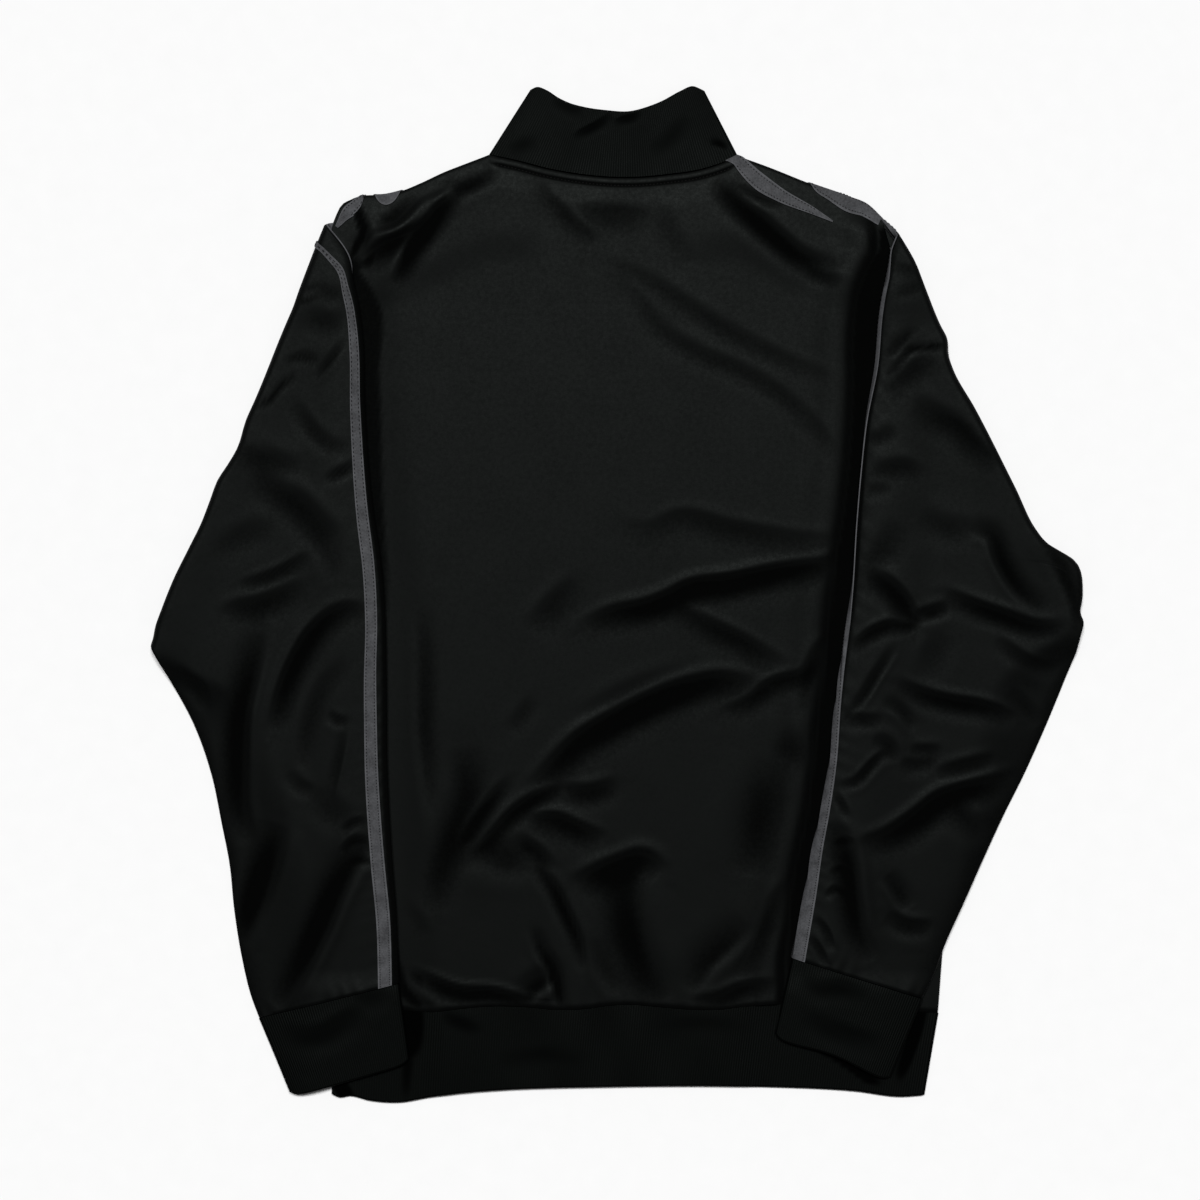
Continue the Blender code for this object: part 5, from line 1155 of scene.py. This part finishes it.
def woven_tape(name):
    """Grey polyester tape: a dense fine weave, flecked light and dark."""
    material, principled, shade = finish_of(name, {"Specular IOR Level": 0.2, "Roughness": 0.75})
    place = shade.node("ShaderNodeTexCoord", output="Object")
    flecks, cloud = noise(place, scale=800.0, detail=3.0), noise(place, scale=110.0)
    own_map = shade.node("ShaderNodeTexCoord", output="UV")
    across = shade.node("ShaderNodeSeparateXYZ", sockets={"Vector": own_map})
    # painted highlight: the tone is lighter towards both edges, where the selvedges catch the light
    edges = shade.maths("ABSOLUTE", across - 0.5, 0.0) * 2.0
    edge_highlight = shade.maths("SMOOTH_MAX", (edges - 0.72) * 3.4, 0.0)
    tone = (flecks - 0.5) * 1.1 + (cloud - 0.5) * 1.0 + edge_highlight * 0.5 + 0.42
    link(blend(tone, (0.023, 0.0235, 0.0255), (0.083, 0.085, 0.091)), principled, "Base Color")
    emboss(flecks, principled, strength=0.4, distance=0.0003)
    return material


tape_finish = woven_tape("woven_tape")


def tape_strip(name, node, upper):
    """A tape from its upper face, a grid of points in which each row runs across the tape.
    """
    piece = cloth(name, upper, TAPE)
    piece.data.materials.append(tape_finish)
    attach(piece, "root")
    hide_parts(node)


LEFT_NEAR = Edge([
    (0, 14), (0.02, 13), (0.035, 11.8), (0.055, 8), (0.077, 5.5), (0.11, 5), (0.36, 5.2), (0.43, 6.8),
    (0.5, 8.6), (0.6, 7.8), (0.75, 6.2), (0.88, 5), (1, 5),
])
LEFT_WIDTH = Edge([
    (0, HEAD_WIDTH), (0.035, 4.6), (0.055, 6.5), (0.08, 8), (0.13, 9.8), (0.2, 10.4), (0.5, 10.6),
    (1, 10.6),
])
LEFT_HIDDEN_END = Edge([
    (0, -0.5), (0.03, 0.3), (0.05, 0.2), (0.07, -1.5), (0.1, -6), (0.14, -9), (1, -9),
])
rows = np.concatenate([np.linspace(0, HEAD, 40, endpoint=False), np.linspace(HEAD, 1, 230)])
right_near = RIGHT.insets.at(rows)
narrower = (TAPE_WIDTH - HEAD_WIDTH) * (1 - smooth((rows - WIDENED_FROM) / WIDENED_OVER))
left_near, left_hidden_end = LEFT_NEAR.at(rows), LEFT_HIDDEN_END.at(rows)
SLEEVE_TAPES = (
    # sleeve, tape, and its two edges as distances round the tube from the taped edge
    (LEFT, "front", left_near, left_near + LEFT_WIDTH.at(rows)),
    (LEFT, "back", left_hidden_end - TAPE_WIDTH, left_hidden_end),
    (RIGHT, "front", right_near + narrower, right_near + TAPE_WIDTH - 0.2 * narrower),
    (RIGHT, "back", right_near - TAPE_GAP - TAPE_WIDTH, right_near - TAPE_GAP),
)
for sleeve, name, start, end in SLEEVE_TAPES:
    c = start[:, None] + (end - start)[:, None] * np.linspace(0, 1, TAPE_COLUMNS)
    v = np.repeat(rows[:, None], TAPE_COLUMNS, axis=1)
    points = sleeve.point(v, c, CLOTH / 2 + SEAM + TAPE)[:, ::sleeve.turn]
    node = "tape_sleeve_" + name + "_" + sleeve.side
    tape_strip("tape_" + name + "_of_" + sleeve.side + "_sleeve", node, points)

# ---- Tapes on the shoulders ----
# The same tapes, sewn on the body from the collar to the sleeve, one before and one behind the
# shoulder line. Where a tape crosses the laid body's upper edge, it turns over it to the underside.

TAPE_ROOM, WRAP_ROOM, SQUARER, EDGE_INSET, DEEP_UNDER = 0.3, 0.1, 1.3, 1.5, -26.0
ALONG_COUNT, ACROSS_COUNT, RIGHT_BACK_SHOWN = 110, 15, 0.66
SHOULDER_TAPES = (
    # side, tape, where it begins and ends from neck to sleeve, the share of it that isn't folded
    # away, and its far and near edges, as distances from the body's outline over its upper face,
    # or under it where less than 0
    (
        "left", "back", 0.02, 1.0, 1.0,
        Edge([
            (0, -14), (0.5, -12), (0.55, -7), (0.62, -2), (0.7, -4), (0.765, -7), (0.79, -6),
            (0.81, -1), (0.87, 3), (0.93, 4.6), (1, 4.6),
        ]),
        Edge([
            (0, -4), (0.5, -5), (0.54, -3), (0.57, 2), (0.6, 6), (0.645, 9.6), (0.69, 9), (0.72, 5),
            (0.745, -1), (0.765, -3), (0.785, -2), (0.8, 2), (0.815, 6), (0.879, 12), (0.92, 13.8),
            (0.96, 14), (0.985, 10), (1, 7),
        ]),
    ),
    ("left", "front", 0.02, 0.88, 1.0, Edge([(0, -38), (1, -38)]), Edge([(0, -26.5), (1, -26.5)])),
    (
        "right", "back", -0.08, 0.73, RIGHT_BACK_SHOWN,
        Edge([(-0.08, 0), (0, 0.5), (0.18, 7.8), (0.353, 13.6), (0.56, 18), (0.68, 22), (0.74, 24)]),
        Edge([
            (-0.08, 2.4), (-0.04, 6), (0, 10), (0.05, 13.8), (0.18, 21.5), (0.353, 24.3), (0.56, 24),
            (0.74, 24.8),
        ]),
    ),
    (
        "right", "front", 0.02, 1.0, 1.0,
        Edge([
            (0, -25.5), (0.18, -20), (0.353, -16), (0.45, -12), (0.52, -7), (0.68, -3), (0.84, 0),
            (1, 0),
        ]),
        Edge([
            (0, -14), (0.18, -9), (0.353, -7), (0.45, -4), (0.49, -1), (0.52, 3), (0.66, 9.7),
            (0.8, 13.4), (0.93, 11.3), (1, 8),
        ]),
    ),
)


def shoulder_point(side, t, s, out):
    """A point over the shoulder: s from its edge, inward on top, or underneath where less than 0."""
    neck, tip = (NECK_LEFT, SHOULDER_LEFT) if side == "left" else (NECK_RIGHT, SHOULDER_RIGHT)
    x = neck[0] + (tip[0] - neck[0]) * t
    edge = np.stack([x, body_top(x)], axis=-1)
    beside_neck = np.where(x > 0, np.maximum(x, NECK_RIGHT[0] + 2), np.minimum(x, NECK_LEFT[0] - 2))
    slope = (body_top(beside_neck + 2) - body_top(beside_neck - 2)) / 4
    slope = np.where(s < DEEP_UNDER, (tip[1] - neck[1]) / (tip[0] - neck[0]), slope)
    inward = np.stack([slope, -np.ones(x.shape)], axis=-1) / np.hypot(slope, 1)[..., None]
    brink = np.moveaxis(edge + inward * EDGE_INSET, -1, 0)
    top, base = back_height(*brink), tape_lift(*brink)
    middle, half = (top + base) / 2, (top - base) / 2
    turn = half * math.pi / 2
    angle = np.clip(s / half, -math.pi / 2, math.pi / 2)
    over = edge - inward * ((out + WRAP_ROOM) * np.cos(angle))[..., None]
    over_z = middle + (half + out) * np.clip(SQUARER * np.sin(angle), -1.0, 1.0)
    flat = edge + inward * np.maximum(np.abs(s) - turn, 0.5)[..., None]
    x, y = np.moveaxis(flat, -1, 0)
    flat_z = np.where(s > 0, back_height(x, y) + out, tape_lift(x, y) - out)
    turning = np.abs(s) < turn
    plan = np.where(turning[..., None], over, flat)
    return np.concatenate([plan, np.where(turning, over_z, flat_z)[..., None]], axis=-1)


for side, name, begin, stop, shown, far_edge, near_edge in SHOULDER_TAPES:
    t = np.repeat(np.linspace(begin, stop, ALONG_COUNT)[:, None], ACROSS_COUNT, axis=1)
    s = far_edge.at(t) + (near_edge.at(t) - far_edge.at(t)) * np.linspace(0, 1, ACROSS_COUNT)
    points = shoulder_point(side, t, s, TAPE_ROOM + TAPE)[:, ::1 if side == "right" else -1]
    node = "tape_shoulder_" + name + "_" + side
    tape_strip("tape_" + name + "_of_" + side + "_shoulder", node, points)

# ---- Front zip ----
# A closed zip down the front, under the jacket: two woven tapes on the fronts' inner faces, a chain
# of interlocking teeth between them, and at its top a slider whose flat tab lies against the table.

CHAIN_WIDTH, CHAIN_LOW, CHAIN_HIGH, TOOTH_PITCH, TOOTH_STEP = 5.4, 1.3, 2.6, 2.5, 1.1
ZIP_CLEAR, ZIP_TAPE_WIDTH, ZIP_TAPE = 0.3, 11.0, 0.6
ZIP_FOOT_Y, CHAIN_TOP_Y = BAND_FOOT_Y + 1.0, 284.0
ZIP_TOP_Y = FRONT_NECK_Y + COLLAR_FRONT_HEIGHT - 3.0
ZIP_ROWS, ZIP_COLUMNS, ON_BAND_Y, ON_COLLAR_Y = 240, 6, -297.0, 231.0
TOOTH_STEPS = (0.02, 0.48, 0.52, 0.98)


def tube_of(name, rings):
    """A closed tube through rings of plan points [row, corner, xyz], with both ends filled."""
    piece = grid_piece(name, np.concatenate([rings, rings[:, :1]], axis=1))
    close_shell(corner=40)
    return piece


zip_cloth_finish, principled, shade = finish_of("zip_tape", {
    "Roughness": 0.8, "Specular IOR Level": 0.1,
})
place = shade.node("ShaderNodeTexCoord", output="Object")
weave = shade.node(
    "ShaderNodeTexWave", {"bands_direction": "DIAGONAL"}, {"Vector": place, "Scale": 500.0}, output=1,
)
link(blend(weave, (0.004, 0.004, 0.0045), (0.012, 0.012, 0.013)), principled, "Base Color")
zip_metal_finish, principled, shade = finish_of("zip_metal", {"Metallic": 1.0, "Roughness": 0.35})
place = shade.node("ShaderNodeTexCoord", output="Object")
wear = noise(place, scale=300.0)
link(blend(wear, (0.035, 0.035, 0.036), (0.07, 0.07, 0.072)), principled, "Base Color")

rows = np.linspace(ZIP_FOOT_Y, ZIP_TOP_Y, ZIP_ROWS)
for side, sign in (("left", -1), ("right", 1)):
    across = CHAIN_WIDTH / 2 + ZIP_CLEAR + ZIP_TAPE_WIDTH * np.linspace(0, 1, ZIP_COLUMNS)
    x = zip_x(rows)[:, None] + sign * across[::sign]
    y = np.repeat(rows[:, None], ZIP_COLUMNS, axis=1)
    on_rib = smooth((ON_BAND_Y - y) / 12) + smooth((y - ON_COLLAR_Y) / 12)
    z = CLOTH + SEAM + (RIB - CLOTH) * on_rib + tape_lift(zip_x(y), y) + ZIP_TAPE
    strip = cloth("zip_tape_on_" + side + "_front", np.stack([x, y, z], axis=-1), ZIP_TAPE)
    strip.data.materials.append(zip_cloth_finish)
    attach(strip, "root")
    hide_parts("zip_tape_" + side)
    "front_panel_" + side

teeth = int((CHAIN_TOP_Y - ZIP_FOOT_Y) / TOOTH_PITCH)
tooth_places = (np.arange(teeth)[:, None] + TOOTH_STEPS).reshape(-1)
y = np.clip(ZIP_FOOT_Y + tooth_places * TOOTH_PITCH, ZIP_FOOT_Y, CHAIN_TOP_Y)
aside = np.tile((0.0, 0.0, TOOTH_STEP, TOOTH_STEP), teeth)
left = zip_x(y) - CHAIN_WIDTH / 2 + aside
right = zip_x(y) + CHAIN_WIDTH / 2 - TOOTH_STEP + aside
corners = [(left, CHAIN_LOW), (right, CHAIN_LOW), (right, CHAIN_HIGH), (left, CHAIN_HIGH)]
rings = np.stack([np.stack([x, y, np.full(y.shape, z)], axis=-1) for x, z in corners], axis=1)
chain = tube_of("zip_teeth", rings)
chain.data.materials.append(zip_metal_finish)
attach(chain, "root")
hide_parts("zip_chain")

SLIDER_ROWS = (
    # y from the chain's top, half width, low, high
    (-20.0, 1.2, 0.25, 0.85),
    (-19.0, 2.2, 0.10, 1.00),
    (-6.0, 2.2, 0.10, 1.00),
    (-3.0, 1.4, 0.10, 1.00),
    (0.6, 1.4, 0.10, 1.00),
    (1.0, 2.2, 0.10, 2.80),
    (2.0, 2.7, 0.10, 3.00),
    (9.0, 2.6, 0.10, 3.00),
    (11.0, 1.8, 0.30, 2.80),
)
rings = []
for away, half, low, high in SLIDER_ROWS:
    y = CHAIN_TOP_Y + away
    x = float(zip_x(y))
    rings.append([(x - half, y, low), (x + half, y, low), (x + half, y, high), (x - half, y, high)])
slider = tube_of("zip_slider_and_tab", np.array(rings))
slider.data.materials.append(zip_metal_finish)
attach(slider, "root")
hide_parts("zip_slider")

# ---- Stitches ----
# Running stitches of dark thread that hold the tapes near both edges, and one row of black thread
# under the neck seam. Each thread goes over and under the cloth along its row.

STITCH_PITCH, THREAD_HALF_WIDTH, THREAD_HALF_HEIGHT = 2.7, 0.32, 0.14
STITCH = ((0.0, -0.4), (0.1, 0.1), (0.5, 0.1), (0.6, -0.4), (0.8, -0.4))


def thread_of(colour, name):
    """Polyester thread of a colour, with painted shade in small flecks where its twist turns from the
    light.
    """
    material, principled, shade = finish_of(name, {"Roughness": 0.7, "Specular IOR Level": 0.15})
    # painted shade: noise darkens the colour to six tenths for the turns of the twist
    painted_twist_shade = noise(shade.node("ShaderNodeTexCoord", output="Object"), scale=2500.0)
    link(blend(painted_twist_shade, [0.6 * part for part in colour], colour), principled, "Base Color")
    return material


grey_thread = thread_of((0.007, 0.007, 0.008), "grey_thread")
black_thread = thread_of((0.002, 0.002, 0.002), "black_thread")


def stitched(name, length, place, finish):
    """A row of stitches along place(share, out), where out is the height off the cloth."""
    count = round(length / STITCH_PITCH)
    steps = np.arange(count)[:, None] + np.array([step for step, out in STITCH])
    share = steps.reshape(-1) / count
    out = np.tile([out for step, out in STITCH], count)
    middle = place(share, out)
    along = np.gradient(middle[:, :2], axis=0)
    aside = np.stack([-along[:, 1], along[:, 0], 0 * share], axis=-1)
    aside *= THREAD_HALF_WIDTH / np.linalg.norm(aside, axis=1)[:, None]
    up = np.array((0, 0, THREAD_HALF_HEIGHT))
    rings = np.stack([middle - aside, middle - up, middle + aside, middle + up], axis=1)
    thread = tube_of(name, rings)
    thread.data.materials.append(finish)
    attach(thread, "root")


STITCH_INSET, SLEEVE_ROW, SHOULDER_ROW = 1.7, 590.0, 125.0
for sleeve, near, width in (
    (LEFT, LEFT_NEAR, LEFT_WIDTH),
    (RIGHT, RIGHT.insets, Edge([(0, TAPE_WIDTH), (1, TAPE_WIDTH)])),
):
    rows_in = (("inner", lambda v: STITCH_INSET), ("outer", lambda v: width.at(v) - STITCH_INSET))
    for row, inset in rows_in:
        stitched(
            "stitches_" + row + "_row_of_" + sleeve.side + "_sleeve", SLEEVE_ROW,
            lambda v, out: sleeve.point(v, near.at(v) + inset(v), CLOTH / 2 + SEAM + TAPE + out),
            grey_thread,
        )
STITCHED_SHOULDERS = {
    # side and tape: where its rows begin and end, from neck to sleeve. The hidden tape has none
    ("left", "back"): (0.8, 0.97),
    ("right", "back"): (0.02, 0.6),
    ("right", "front"): (0.02, 0.97),
}
for side, name, *_, far_edge, near_edge in SHOULDER_TAPES:
    if (side, name) not in STITCHED_SHOULDERS:
        continue
    begin, stop = STITCHED_SHOULDERS[side, name]
    for row, share_in in (("upper", 0.16), ("lower", 0.84)):

        def on_shoulder(share, out):
            t = begin + (stop - begin) * share
            s = far_edge.at(t) + (near_edge.at(t) - far_edge.at(t)) * share_in
            return shoulder_point(side, t, s, TAPE_ROOM + TAPE + out)

        stitched(
            "stitches_" + row + "_row_of_" + side + "_" + name + "_shoulder",
            SHOULDER_ROW * (stop - begin), on_shoulder, grey_thread,
        )


NECK_ROW, NECK_ROW_INSET, THREAD_SUNK = 184.0, 3, 0.5


def under_neck(share, out):
    inner_width = NECK_RIGHT[0] - NECK_LEFT[0] - 2 * NECK_ROW_INSET
    head_x = NECK_LEFT[0] + NECK_ROW_INSET + inner_width * share
    across = (head_x - SHOULDER_LEFT[0]) / (SHOULDER_RIGHT[0] - SHOULDER_LEFT[0])
    up = np.full(share.shape, 1 - STITCHED_INSET / BACK_LENGTH)
    x, y = body_point(across, up, -SEAM_OVERLAP)
    return np.stack([x, y, back_height(x, y) - THREAD_SUNK + out], axis=-1)


stitched("stitches_under_neck_seam", NECK_ROW, under_neck, black_thread)
